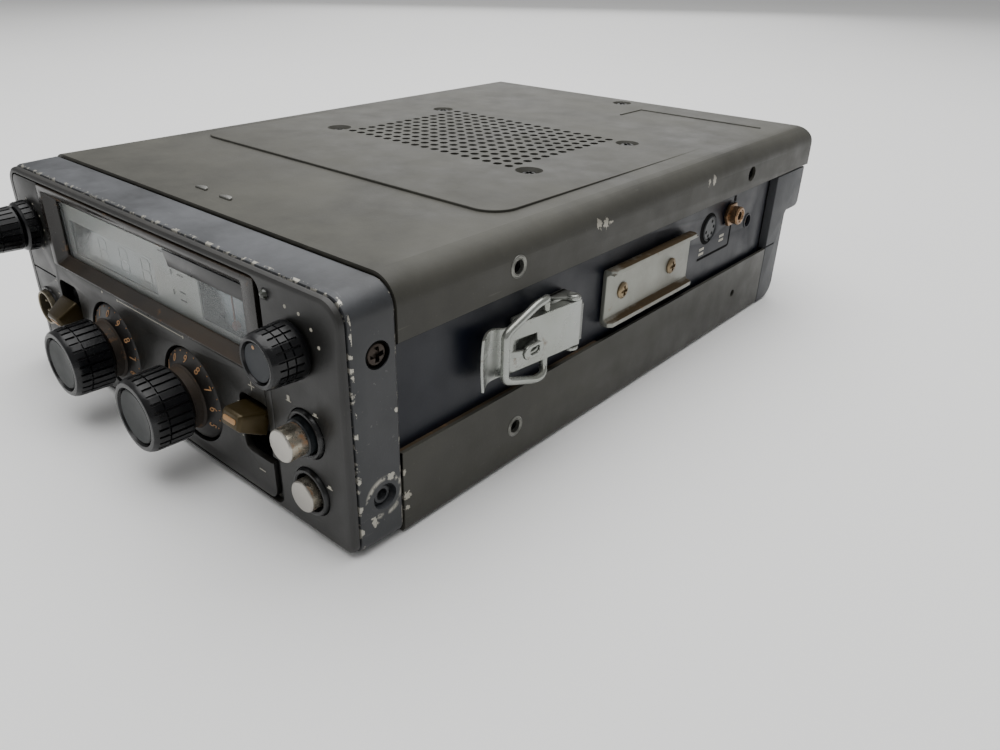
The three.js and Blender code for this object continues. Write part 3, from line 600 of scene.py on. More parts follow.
SILVER = surface("button_silver", base="b5b2ab", alt="aaa69f", rough=0.3, metal=0.7, bump=0.02)
SILVER_SIDE = surface("button_side", base="a59f92", alt="8f8878", rough=0.26, metal=0.85, rust=0.58,
                      rust_rgb="96580f", blotch=140)
CHROME = painted(
    "latch_chrome", chips=0.0, base="a6a9a6", alt="93968f", rough=0.24, metal=0.75, rust=0.14,
    bump=0.03, rust_rgb="4a3a28", dust=("6d5f47", 0.45),
)
RAIL = painted("rail_zinc", chips=0.0, base="9fa19a", alt="8a8b83", rough=0.36, metal=0.6, rust=0.08,
               rust_rgb="6e5238", dust=("4a3c28", 2.4))
RUSTY = surface(
    "rail_rust", base="3a3024", alt="4a3b28", rough=0.75, rust=0.4, rust_rgb="3c2a1a", grain=900,
    bump=0.3,
)
STEEL = surface("plated_steel", base="7d7d79", alt="6b6a65", rough=0.35, metal=0.85, rust=0.12)
BRONZE = surface(
    "screw_bronze", base="3a322c", alt="28221e", rough=0.36, metal=0.75, rust=0.12, rust_rgb="2c2019",
)
RAIL_SCREW = surface("rail_screw_bronze", base="8a7a60", alt="6b5c46", rough=0.34, metal=0.8, rust=0.15)
BLACK_SCREW = surface("screw_black", base="101010", alt="1a1918", rough=0.4, metal=0.4, rust=0.05)
BRASS = surface("brass_contact", base="94765a", alt="7a6046", rough=0.3, metal=0.85, rust=0.1)
NICKEL = surface("socket_nickel", base="8d8471", alt="6f6858", rough=0.36, metal=0.85, rust=0.15)
EYELET = surface("eyelet_metal", base="8d8d87", alt="5f5f5a", rough=0.35, metal=0.8, blotch=200)
# Near black: inner parts, and also painted shade on the strips, blocks and discs set in joints and
# recesses.
DARK = surface("inner_black_and_painted_shade", base="020202", alt="050505", rough=0.8, specular=0.1)
MASK = surface(
    "mask_grey", base="8f928e", alt="858884", rough=0.35, blotch=60, bump=0.02, dust=("7d7668", 0.3),
)
# Painted reflection: dark patches at the digit window's upper left, on the filter and the digits alike,
# stand in for a dark thing reflected in the filter.
DISPLAY_PAINTED_REFLECTION = [((-60, 4, 60), 15), ((-51, 4, 60.5), 8)]
FILTER = surface("display_filter", base="7f8584", alt="747a7a", rough=0.2, metal=0.3, blotch=14, bump=0.0,
                 painted_reflections=DISPLAY_PAINTED_REFLECTION)
SEGMENT = surface("digit_segment", base="7a807f", alt="717776", rough=0.22, metal=0.3, bump=0.0,
                  painted_reflections=DISPLAY_PAINTED_REFLECTION)
# The meter face carries a painted reflection: a dark patch at its left.
METER_FACE = surface("meter_face", base="6f797f", alt="626c73", rough=0.2, metal=0.2, bump=0.0,
                     painted_reflections=[((20, 6.6, 49), 10)])
INK = surface("printed_mark", base="b3afa2", alt="9d998c", rough=0.5, bump=0.0)
DARK_INK = surface("dark_mark", base="1c1d1e", alt="2a2b2c", rough=0.5, bump=0.0)
DIGIT = surface("dial_digit", base="b48a62", alt="8a6238", rough=0.5, bump=0.0, blotch=120)
NEEDLE = surface("needle_red", base="4b1a12", alt="5a2116", rough=0.5, bump=0.0)
LAMP = surface("lamp_lens", base="2c2f29", alt="3a3d36", rough=0.18, coat=0.4, bump=0.0)
BADGE = surface("badge_dark", base="2e2e2e", alt="353535", rough=0.34, bump=0.02)
BOARD = surface("circuit_laminate", base="4d5a30", alt="5a6a3a", rough=0.45, bump=0.1)
PAPER = surface("speaker_paper", base="0e0d0c", alt="161412", rough=0.9, bump=0.3)
LENS = clear_sheet("window_lens", "dfe4e4", 0.12)


# ------------------------------------------------------------------ small parts
def phillips(name, axis, at, seat, out, r, height=1.4, slot=0.55):
    """A cross-head screw whose head stands out from the seat, towards +out or -out on its axis."""
    top = seat + out * height
    dome = [(0, seat), (r, seat), (r, seat + out * height * 0.45), (r * 0.8, seat + out * height * 0.85),
            (r * 0.45, top), (0, top)]
    head = lathe(name, axis, at, dome, 28)
    low, high = sorted((top - out * height * 0.62, top + out))
    reach = r * 0.62
    width = r * slot * 0.36
    u, v = at
    for half_u, half_v in ((reach, width), (width, reach)):
        outline = oblong(u - half_u, u + half_u, v - half_v, v + half_v)
        head = cut(head, prism("tool", outline, axis, low, high))
    return head


def ring(name, axis, at, r_in, r_out, low, high, sides=32):
    """A flat ring with rounded outer corners."""
    e = min(0.25, (high - low) * 0.4)
    profile = [
        (r_in, low), (r_out - e, low), (r_out, low + e), (r_out, high - e), (r_out - e, high),
        (r_in, high),
    ]
    return lathe(name, axis, at, profile, sides)


def digit(name, text, angle, centre, r, y, size):
    """A figure on a dial, upright when it stands at the top."""
    curve = bpy.data.curves.new(name, "FONT")
    curve.body = text
    curve.size = size
    curve.align_x = "CENTER"
    curve.align_y = "CENTER"
    curve.extrude = 0.05
    holder = bpy.data.objects.new(name, curve)
    bpy.context.scene.collection.objects.link(holder)
    graph = bpy.context.evaluated_depsgraph_get()
    mesh = bpy.data.meshes.new_from_object(holder.evaluated_get(graph))
    bpy.data.objects.remove(holder)
    turn = math.radians(angle)
    tilt = Matrix.Rotation(math.radians(-26), 4, "X")
    stand = Matrix.Rotation(math.radians(90), 4, "X") @ tilt
    spin = Matrix.Rotation(-(turn - math.pi / 2), 4, "Y")
    at = Vector((centre[0] + r * math.cos(turn), y, centre[1] + r * math.sin(turn)))
    mesh.transform(Matrix.Translation(at) @ spin @ stand)
    obj = bpy.data.objects.new(name, mesh)
    bpy.context.scene.collection.objects.link(obj)
    return obj


# ------------------------------------------------------------------ front
PANEL_Y = box_mm("control_plate")[0].y
HALF = box_mm("front_bezel")[1].x
TOP = box_mm("front_bezel")[1].z
BEZEL_DEPTH = box_mm("front_bezel")[1].y
SCREW_Y = middle("bezel_screw_right").y
SCREW_Z = middle("bezel_screw_right").z
OPEN_HOLE_Z = 15.9
BEZEL_WALL = 5
CUP_R = 3.75
CUP_DEPTH = 2.4


def front_bezel():
    """The cast ring round the front, with its screw cups and the two open holes."""
    rings = []
    for inset, y in ((1.5, 0.0), (0.75, 0.35), (0.45, 1.1), (0.0, BEZEL_DEPTH - 0.6), (0.35, BEZEL_DEPTH)):
        outline = rounded(inset - HALF, HALF - inset, inset, TOP - inset, (4.5 - inset, 7 - inset), 12)
        rings.append((outline, y))
    body = loft("front_bezel_look", rings, "y")
    for polygon in body.data.polygons:
        y = [body.data.vertices[i].co.y for i in polygon.vertices]
        polygon.material_index = 1 if max(y) < 1.2 or min(y) > BEZEL_DEPTH - 0.7 else 0
    opening = rounded(BEZEL_WALL - HALF, HALF - BEZEL_WALL, BEZEL_WALL, TOP - BEZEL_WALL, 4)
    body = cut(body, prism("tool", opening, "y", -2, BEZEL_DEPTH + 2))
    for side in (-1, 1):
        for z in (SCREW_Z, OPEN_HOLE_Z):
            cup = sideways(side, HALF - CUP_DEPTH, HALF + 2)
            bore = sideways(side, HALF - 7, HALF)
            body = cut(body, rod("tool", "x", (SCREW_Y, z), CUP_R, *cup, 40))
            body = cut(body, rod("tool", "x", (SCREW_Y, z), 1.7, *bore, 20))
    done(body, "housing", BEZEL, "front_bezel")
    for side, label in ((1, "right"), (-1, "left")):
        head = "bezel_screw_" + label
        screw = phillips(head + "_look", "x", (SCREW_Y, SCREW_Z), side * (HALF - 2.3), side, 3.35, 1.9)
        done(screw, "housing", BRONZE, head)
        span = sideways(side, HALF - 2.38, HALF - 0.25)
        cup = ring("bezel_cup_" + label, "x", (SCREW_Y, SCREW_Z), 3.42, 3.78, *span)
        done(cup, "housing", DARK)
        span = sideways(side, HALF - 2.35, HALF - 1.5)
        boss = ring("bezel_boss_" + label, "x", (SCREW_Y, OPEN_HOLE_Z), 1.7, 2.7, *span)
        done(boss, "housing", BEZEL[0])


TONE = middle("tone_knob")
LEVEL = middle("power_level_button")
POWER = middle("power_button")
DIAL_100 = middle("dial_100khz")
DIAL_10 = middle("dial_10khz")
MIC = middle("mic_socket")
VOLUME = middle("volume_knob")
LAMP_AT = middle("busy_lamp")
PLATE_LOW, PLATE_HIGH = box_mm("control_plate")
WINDOW_LOW, WINDOW_HIGH = box_mm("window_frame")
MHZ_SLOT = (-59.5, 27.4)
OFFSET_SLOT = (51.0, 24.8)
SLOT_HALF = (7.0, 9.5)
LEVER_PIVOT_Y = 6
SEAM_X = 60.3


def slot_outline(centre, grow=0.0):
    """The opening round a lever."""
    x, z = centre
    w, h = SLOT_HALF[0] + grow, SLOT_HALF[1] + grow
    return rounded(x - w, x + w, z - h, z + h, 2.5 + grow, 6)


def front_moulding():
    """The black rim inside the bezel, with the right-hand section that carries the buttons."""
    rings = []
    for inset, y in ((0.0, -0.3), (0.0, -1.1), (0.25, -1.75), (0.8, -2.15), (1.4, PANEL_Y)):
        outline = rounded(inset - 90, 90 - inset, 1 + inset, 73 - inset, (3.9 - inset, 6.4 - inset), 12)
        rings.append((outline, y))
    body = loft("front_moulding_look", rings, "y")
    for polygon in body.data.polygons:
        y = [body.data.vertices[i].co.y for i in polygon.vertices]
        polygon.material_index = 1 if max(y) < -1 and min(y) < -2.1 and len(polygon.vertices) == 4 else 0
    opening = rounded(PLATE_LOW.x - 0.5, SEAM_X, PLATE_LOW.z - 0.5, PLATE_HIGH.z + 0.5, 4, 8)
    body = cut(body, prism("tool", opening, "y", -5, 2))
    for at, r in ((TONE, 5.6), (LEVEL, 7.25), (POWER, 7.25), (LAMP_AT, 1.7)):
        body = cut(body, rod("tool", "y", (at.x, at.z), r, -5, 2, 40))
    done(body, "housing", PANEL, "front_moulding")
    collar = prism("moulding_collar", rounded(-85.6, 85.6, 5.4, 68.6, 3.7), "y", -0.25, 4.4)
    collar = cut(collar, prism("tool", rounded(-84.4, 84.4, 6.6, 67.4, 3), "y", -2, 6))
    done(collar, "housing", DARK)


def control_plate():
    """The recessed plate behind the dials, its lever slots and dial wells, and the seam beside it."""
    outline = rounded(PLATE_LOW.x, PLATE_HIGH.x, PLATE_LOW.z, PLATE_HIGH.z, 3.6, 8)
    body = prism("control_plate_look", outline, "y", PANEL_Y, -0.3)
    window = rounded(WINDOW_LOW.x - 0.2, PLATE_HIGH.x + 3, WINDOW_LOW.z - 0.2, PLATE_HIGH.z + 3, 0.6, 3)
    body = cut(body, prism("tool", window, "y", -5, 2))
    for at in (DIAL_100, DIAL_10):
        body = cut(body, rod("tool", "y", (at.x, at.z), 15.5, -5, 2, 72))
    for at, r in ((VOLUME, 4.6), (MIC, 7.6)):
        body = cut(body, rod("tool", "y", (at.x, at.z), r, -5, 2, 40))
    for slot in (MHZ_SLOT, OFFSET_SLOT):
        body = cut(body, prism("tool", slot_outline(slot), "y", -5, 2))
    line = prism("tool", rounded(-95, -68.5, 36.5, 37.1, 0.2, 2), "y", -5, PANEL_Y + 0.5)
    body = cut(body, line)
    bevel(body, 0.35, 2)
    done(body, "housing", PANEL, "control_plate")
    for name, slot in (("megahertz_slot_liner", MHZ_SLOT), ("offset_slot_liner", OFFSET_SLOT)):
        liner = prism(name, slot_outline(slot, 0.9), "y", -0.25, 4.8)
        liner = cut(liner, prism("tool", slot_outline(slot, 0.1), "y", -2, 4.2))
        arm = rounded(slot[0] - 3.4, slot[0] + 3.4, slot[1] - 7, slot[1] + 10.8, 1, 3)
        liner = cut(liner, prism("tool", arm, "y", 2, 6))
        done(liner, "housing", DARK)
    for name, at in (("dial_100khz_recess", DIAL_100), ("dial_10khz_recess", DIAL_10)):
        profile = [(15.6, -0.2), (16.4, -0.2), (16.4, 2.2), (3.6, 2.2), (3.6, 1.4), (15.6, 1.4)]
        wall = lathe(name, "y", (at.x, at.z), profile, 72)
        done(wall, "housing", DARK)
    channel = prism("offset_channel", rounded(57.5, 60.1, 3.4, 18, 0.5, 3), "y", -1.1, -0.4)
    bevel(channel, 0.25, 2)
    strip = prism("seam_strip", rounded(57.3, 60.1, 18.2, 41.8, 0.3, 3), "y", PANEL_Y, -0.4)
    bevel(strip, 0.3, 2)
    done(strip, "housing", PANEL)
    done(channel, "housing", RIM)


def window():
    """The window's moulding, lens and mask, and what stands behind them."""
    low, high = WINDOW_LOW, WINDOW_HIGH
    edge = rounded(low.x, high.x + 1.6, low.z, high.z, 0.8, 4)
    body = prism("window_frame_look", edge, "y", PANEL_Y - 0.25, -0.3)
    inner = (-60.3, 49.8, 46.1, 65.8)
    deep = prism("tool", rounded(*grown(inner, 2.4), 0.5, 3), "y", -0.6, 1.2)
    body = boolean(body, "UNION", deep)
    slope = []
    for grow, y in ((3.3, PANEL_Y - 0.9), (2.5, PANEL_Y + 0.5), (0.9, -0.1), (0.0, 0.5), (0.0, 2.0)):
        slope.append((rounded(*grown(inner, grow), 0.8, 3), y))
    body = cut(body, loft("tool", slope, "y"))
    bevel(body, 0.22, 2, 40)
    done(body, "housing", WINDOW, "window_frame")
    lens = prism("window_lens_look", rounded(*facing("window_lens"), 0.6, 3), "y", 1.5, 2.4)
    done(lens, "housing", LENS, "window_lens")
    digits_low, digits_high = box_mm("digit_display")
    digits = (digits_low.x - 1, digits_high.x + 1, digits_low.z + 1, digits_high.z - 1)
    meter_low, meter_high = box_mm("meter_body")
    meter = (meter_low.x + 1.2, meter_high.x - 1.2, meter_low.z + 1.2, meter_high.z - 0.8)
    mask = prism("display_mask_look", rounded(*facing("display_mask"), 0.6, 3), "y", 3.1, 3.6)
    for area in (digits, meter):
        mask = cut(mask, prism("tool", rounded(*area, 0.4, 3), "y", 2, 5))
    done(mask, "housing", MASK, "display_mask")
    marks = []
    for x, z, w, h in (
        (2, 62.6, 3.4, 0.5), (6, 62.6, 2, 0.5), (6.5, 57.3, 0.9, 1.7), (11.5, 57.3, 3.4, 0.5),
        (6.5, 51, 0.9, 1.7), (11.5, 52, 3.4, 0.5), (11.5, 49.4, 3.4, 0.5),
    ):
        marks.append(tab("mark", x, z, w, h, (3.04, 3.12), 0.2))
    done(fuse("indicator_marks", marks), "housing", DARK_INK)
    plate = [(10.0, 60.5), (49.3, 60.5), (49.3, 65.2), (7.6, 65.2)]
    badge = bevel(prism("name_plate_look", plate, "y", 0.75, 1.3), 0.15, 2)
    done(badge, "housing", BADGE, "name_plate_blank")
    display(digits)
    signal_meter(meter)


def display(area):
    """The grey filter and the four faint digits before it."""
    x0, x1, z0, z1 = area
    body = prism("display_filter", rounded(*grown(area, -0.1), 0.3, 3), "y", 3.9, 4.5)
    done(body, "housing", FILTER)
    case = bevel(block("digit_display_look", (x0 + 1, x1 - 1), (4.7, 9), (z0 - 1, z1 + 1)), 0.3)
    done(case, "housing", DARK, "digit_display")
    bars = []
    pitch = (x1 - x0) / 4
    width, height, thick = 4.6, 8.0, 0.75
    depth = (3.82, 3.9)
    middle_z = (z0 + z1) / 2
    for i in range(4):
        cx = x0 + pitch * (i + 0.5)
        for level in (-1, 0, 1):
            z = middle_z + level * height / 2
            bars.append(tab("bar", cx, z, width, thick, depth))
        for side in (-1, 1):
            for level in (-1, 1):
                x = cx + side * (width / 2 + 0.3)
                z = middle_z + level * height / 4
                bars.append(tab("bar", x, z, thick, 3.2, depth))
    done(fuse("digit_segments", bars), "housing", SEGMENT)


def signal_meter(area):
    """The meter's face, its scale, and the needle on its own body."""
    x0, x1, z0, z1 = area
    face = prism("meter_face", rounded(x0, x1, z0, z1, 0.3, 3), "y", 6.6, 7.2)
    done(face, "housing", METER_FACE)
    case = block("meter_body_look", (x0 - 1.1, x1 + 1.1), (3.9, 22), (z0 - 1.1, z1 + 0.7))
    case = cut(case, block("tool", (x0, x1), (3, 7.4), (z0, z1)))
    done(bevel(case, 0.25), "housing", DARK, "meter_body")
    pivot = middle("meter_needle")
    cx, cz = pivot.x, z0 + 1.6
    ticks = []
    for i in range(13):
        a = math.radians(90 + 38 - i * 76 / 12)
        reach = 1.7 if i % 3 == 0 else 1.0
        u, v = Vector((math.cos(a), math.sin(a))), Vector((-math.sin(a), math.cos(a))) * 0.11
        near, far = u * 9.4, u * (9.4 + reach)
        corners = [near - v, far - v, far + v, near + v]
        ticks.append(prism("tick", [(cx + p.x, cz + p.y) for p in corners], "y", 6.5, 6.62))
    sweep = arc(cx, cz, 9.45, 52, 128, 20) + arc(cx, cz, 9.25, 128, 52, 20)
    ticks.append(prism("tick", sweep, "y", 6.5, 6.62))
    done(fuse("meter_scale", ticks), "housing", DARK_INK)
    pointer = [(cx - 0.3, cz), (cx + 0.3, cz), (cx + 0.12, cz + 10.4), (cx - 0.12, cz + 10.4)]
    needle = prism("needle", pointer, "y", 5.0, 5.35)
    hub = lathe("hub", "y", (cx, cz), [(0, 4.7), (1.1, 4.7), (1.3, 4.9), (1.3, 6.2), (0, 6.2)], 24)
    done(fuse("meter_needle_look", [needle, hub]), "needle", NEEDLE, "meter_needle")


# ------------------------------------------------------------------ knobs and buttons
def tuning_dial(label, body, at, phase, figures):
    """A ribbed knob on a numbered skirt, with a grey cap; phase is where its first figure stands."""
    centre = (at.x, at.z)
    dial = "dial_" + label
    f = box_mm(dial)[0].y
    profile = [
        (0, f + 1.5), (8.5, f + 1.5), (8.9, f + 0.9), (9.2, f + 0.1), (9.7, f), (10.5, f + 0.15),
        (11.0, f + 0.7), (11.35, f + 1.7), (11.45, f + 2.6), (11.7, -8.9), (11.4, -8.4), (10.2, -7.6),
        (9.7, -7.2), (0, -7.2),
    ]
    knob = grip(dial + "_knob", centre, profile, 28, (f + 1.5, -9.0), 0.6, [(f + 4.6, f + 5.1)], 0.68)
    done(knob, body, KNOB, dial)
    profile = [(0, -7.1), (9.5, -7.1), (9.7, -4.6), (10.4, -4.0), (0, -4.0)]
    done(lathe(dial + "_neck", "y", centre, profile, 72), body, NECK)
    profile = [
        (0, -3.95), (10.1, -3.95), (13.4, -2.25), (14.2, -1.9), (14.6, -1.4), (14.6, 0), (3, 0),
        (3, 5), (0, 5),
    ]
    done(lathe(dial + "_skirt", "y", centre, profile, 96), body, SKIRT)
    profile = [(0, 0.95), (3, 0.9), (6.4, 0.65), (7.9, 0.45), (8.3, 0.65), (8.35, 1.4), (0, 1.4)]
    cap = lathe(dial + "_cap_look", "y", centre, profile, 72, f)
    done(cap, body, CAP, dial + "_cap")
    marks = []
    for i, text in enumerate(figures):
        marks.append(digit("figure", text, phase + 30 * i, centre, 12.1, -3.0, 3.4))
    for i in range(len(figures) * 2):
        marks.append(rod("dot", "y", spoke(centre, 13.9, phase + 15 * i), 0.22, -2.16, -1.9, 8))
    done(fuse(dial + "_figures", marks), body, DIGIT)


def tone_knob():
    """The small ribbed knob at the top right, with its blue-grey cap and pointer."""
    centre = (TONE.x, TONE.z)
    f = box_mm("tone_knob")[0].y
    profile = [
        (0, f + 1.2), (5.1, f + 1.2), (5.4, f + 0.8), (5.6, f + 0.1), (6.1, f), (6.7, f + 0.3),
        (7.05, f + 1.0), (7.2, f + 1.6), (7.7, -4.6), (7.75, -3.6), (7.5, -3.1), (0, -3.1),
    ]
    grooves = [(f + 3.8, f + 4.2), (f + 6.1, f + 6.5)]
    knob = grip("tone_knob_look", centre, profile, 22, (f + 1.9, -4.9), 0.5, grooves)
    done(knob, "tone", KNOB, "tone_knob")
    shaft = rod("tone_shaft", "y", centre, 3, -3.1, 6, 24)
    done(shaft, "tone", DARK)
    profile = [(0, 0.75), (4.3, 0.5), (4.9, 0.55), (5.05, 1.1), (0, 1.1)]
    cap = lathe("tone_knob_cap_look", "y", centre, profile, 48, f)
    done(cap, "tone", TONE_CAP, "tone_knob_cap")
    mark = rod("tone_pointer", "y", spoke(centre, 3.9, 101), 0.5, f + 0.42, f + 0.7, 14)
    done(mark, "tone", DIGIT)


def volume_pair():
    """The volume knob, and the squelch ring behind it on the same axis."""
    centre = (VOLUME.x, VOLUME.z)
    profile = [
        (3.1, -7.6), (7.3, -7.6), (8.0, -7.3), (8.45, -6.7), (8.7, -3.6), (8.5, -2.8), (4.2, -2.75),
        (3.1, -2.75), (3.1, -7.6),
    ]
    squelch = grip("squelch_ring_look", centre, profile, 24, (-6.7, -3.7), 0.5, [])
    done(squelch, "squelch", KNOB, "squelch_ring")
    f = box_mm("volume_knob")[0].y
    profile = [
        (0, f + 0.6), (5.4, f + 0.6), (5.7, f + 0.1), (6.2, f), (6.8, f + 0.4), (7.2, f + 1.2),
        (7.6, -9.4), (7.7, -8.6), (7.4, -8.2), (2.6, -8.2), (2.6, 6), (0, 6),
    ]
    groove = (f + 5.0, f + 5.5)
    knob = grip("volume_knob_look", centre, profile, 24, (f + 1.6, -9.2), 0.5, [groove])
    done(knob, "volume", KNOB, "volume_knob")
    stem = ring("squelch_stem", "y", centre, 3.1, 4.1, -3, 5)
    done(stem, "squelch", DARK)


def lever(name, body, node_body, centre_x, pivot_y, pivot_z, tilt):
    """A faceted gold paddle with a light bar on its face, its arm and a curved black shutter."""
    def rectangle(w, h):
        """A rounded section of the paddle."""
        return rounded(centre_x - w / 2, centre_x + w / 2, pivot_z - h / 2, pivot_z + h / 2, 0.7, 3)

    y = pivot_y
    sizes = ((7.2, 3.8, 16.9), (8.4, 5.0, 16.0), (10.8, 7.0, 9.8), (11.0, 7.2, 8.2))
    paddle = loft(name, [(rectangle(w, h), y - reach) for w, h, reach in sizes], "y")
    bevel(paddle, 0.3, 2, 20)
    bar = tab(name + "_bar", centre_x, pivot_z, 5.8, 1.5, (y - 17.15, y - 16.7), 0.7, 5)
    bevel(bar, 0.12)
    upright = (pivot_z - 1.3, pivot_z + 1.3)
    arm = block(name + "_arm", (centre_x - 2, centre_x + 2), (y - 8.6, y + 2.6), upright)
    bevel(arm, 0.3)
    shell = arc(y, pivot_z, 5.9, 112, 248, 20) + arc(y, pivot_z, 5.4, 248, 112, 20)
    shutter = prism(name + "_shutter", shell, "x", centre_x - 3.1, centre_x + 3.1)
    pivot = Matrix.Translation((0, y, pivot_z))
    turn = pivot @ Matrix.Rotation(math.radians(-tilt), 4, "X") @ pivot.inverted()
    for piece in (paddle, bar, arm, shutter):
        piece.data.transform(turn)
    done(paddle, body, GOLD, node_body)
    done(bar, body, GOLD_BAR)
    done(fuse(name + "_stalk", [arm, shutter]), body, DARK)


def push_button(name, body, at, replaces):
    """A silver button with a stained side, in a grey sleeve."""
    centre = (at.x, at.z)
    f = box_mm(replaces)[0].y
    profile = [(0, 0), (3.9, 0), (4.25, 0.1), (4.5, 0.4), (4.5, 0.7)]
    cap = lathe(name + "_look", "y", centre, profile, 56, f)
    modify(cap, "SOLIDIFY", thickness=0.3, offset=-1)
    profile = [(0, 0.5), (4.48, 0.5), (4.55, 0.8), (4.55, 5.4), (0, 5.4)]
    side = lathe(name + "_side", "y", centre, profile, 56, f)
    done(cap, body, SILVER, replaces)
    done(side, body, SILVER_SIDE)
    shoulder = max(f + 6.4, 1.1)
    profile = [
        (0, f + 5.3), (4.9, f + 5.3), (5.2, f + 5.6), (5.2, shoulder), (1.6, shoulder), (1.6, 6), (0, 6),
    ]
    sleeve = lathe(name + "_sleeve", "y", centre, profile, 48)
    done(sleeve, body, SLEEVE)


def collar(name, at, replaces):
    """The black collar round a button."""
    p = PANEL_Y
    profile = [
        (5.45, 4.2), (5.45, p - 0.5), (5.7, p - 1.0), (6.15, p - 1.25), (6.6, p - 1.1), (6.9, p - 0.6),
        (7.0, p + 0.2), (7.0, 4.2),
    ]
    done(lathe(name, "y", (at.x, at.z), profile, 56), "housing", COLLAR, replaces)


def microphone_socket():
    """The round socket in its collar, with four pins and a key slot."""
    centre = (MIC.x, MIC.z)
    f = box_mm("mic_socket")[0].y
    shell = lathe("mic_socket_look", "y", centre, [
        (5.5, 4), (5.5, f + 0.3), (5.7, f), (6.2, f), (6.45, f + 0.35), (6.5, -0.6), (6.4, 4)], 56)
    collar = lathe("mic_socket_collar", "y", centre, [
        (6.6, 0.5), (6.6, -2.7), (6.9, -2.95), (7.25, -2.9), (7.5, -2.5), (7.5, -0.2), (7.2, 0.5)], 56)
    done(shell, "housing", NICKEL, "mic_socket")
    done(collar, "housing", COLLAR)
    face = lathe("mic_socket_face", "y", centre, [(0, -0.6), (5.4, -0.6), (5.45, 3), (0, 3)], 40)
    pins = []
    for i in range(4):
        at = spoke(centre, 2.8, 45 + 90 * i)
        face = cut(face, rod("tool", "y", at, 1.1, -3, 1, 16))
        profile = [(0, -3.6), (0.45, -3.4), (0.65, -3.0), (0.65, 0.6), (0, 0.6)]
        pins.append(lathe("pin", "y", at, profile, 14))
    key = block("tool", (centre[0] - 0.8, centre[0] + 0.8), (-2, 1), (centre[1] + 4.1, centre[1] + 6))
    face = cut(face, key)
    done(face, "housing", DARK)
    done(fuse("mic_socket_pins", pins), "housing", NICKEL)


def panel_marks():
    """Small unlettered marks: index lines, dots and push symbols."""
    y0, y1 = PANEL_Y - 0.06, PANEL_Y + 0.1
    marks = []

    def bar(x0, x1, z0, z1):
        marks.append(prism("mark", oblong(x0, x1, z0, z1), "y", y0, y1))

    bar(-21.7, DIAL_10.x, 41.4, 41.62)
    for x in (-32, -21.7, DIAL_10.x):
        marks.append(rod("mark", "y", (x, 41.5), 0.45, y0, y1, 12))
    for a in (101, 72, 44, 19):
        marks.append(rod("mark", "y", spoke((TONE.x, TONE.z), 10.6, a), 0.5, y0, y1, 14))
    for i in range(9):
        marks.append(rod("mark", "y", spoke((VOLUME.x, VOLUME.z), 9, -130 + 32 * i), 0.35, y0, y1, 10))
    for x, z, out in ((67.8, 40.6, 1.5), (78.6, 40.4, 0.7), (81.9, 20.1, 0.7)):
        bar(x - 1.1, x + 1.1, z - 0.6, z - 0.35)
        bar(x - 0.55, x + 0.55, z - 0.35, z - 0.35 + out)
    bar(49.6, 52.4, 37.9, 38.2)
    bar(50.85, 51.15, 36.7, 39.4)
    bar(49.6, 52.4, 10.6, 10.9)
    for z in (19.2, 24.8, 30.4):
        bar(43.0, 43.6, z - 0.15, z + 0.15)
    for z in (20.4, 25.4, 30.4, 35.4):
        bar(-69.8, -68.6, z - 0.15, z + 0.15)
    done(fuse("panel_marks", marks), "housing", INK)


# ------------------------------------------------------------------ covers
COVER_LOW, COVER_HIGH = box_mm("top_cover")
COVER_TOP = 74.8
GRILLE = {"x": 2.0, "y": 143.7, "nx": 17, "ny": 13, "pitch": 5.16, "r": 1.62}
SHEET = 1.2
TOP_HOLES = ((60.5, 65.1, 2.4), (205.7, 64.1, 2.9))
BASE_HOLES = ((61.4, 13.2, 2.4), (206, 13.3, 1.6))


def cover_shell(name, inset, reach=0.0):
    """The top cover's solid form: an arch along Y whose rear edge is rounded as well."""
    low = COVER_LOW.z - reach
    side = rounded(inset - HALF, HALF - inset, low, COVER_TOP - inset, (0.01, 8 - inset), 12)
    arch = prism(name, side, "y", COVER_LOW.y - reach, COVER_HIGH.y + 5)
    rear, top, r = COVER_HIGH.y - inset, COVER_TOP - inset, 7 - inset
    front = COVER_LOW.y - reach
    profile = [(front, low), (rear, low)] + arc(rear - r, top - r, r, 0, 90, 12) + [(front, top)]
    return boolean(arch, "INTERSECT", prism("tool", profile, "x", -HALF - 2, HALF + 2))


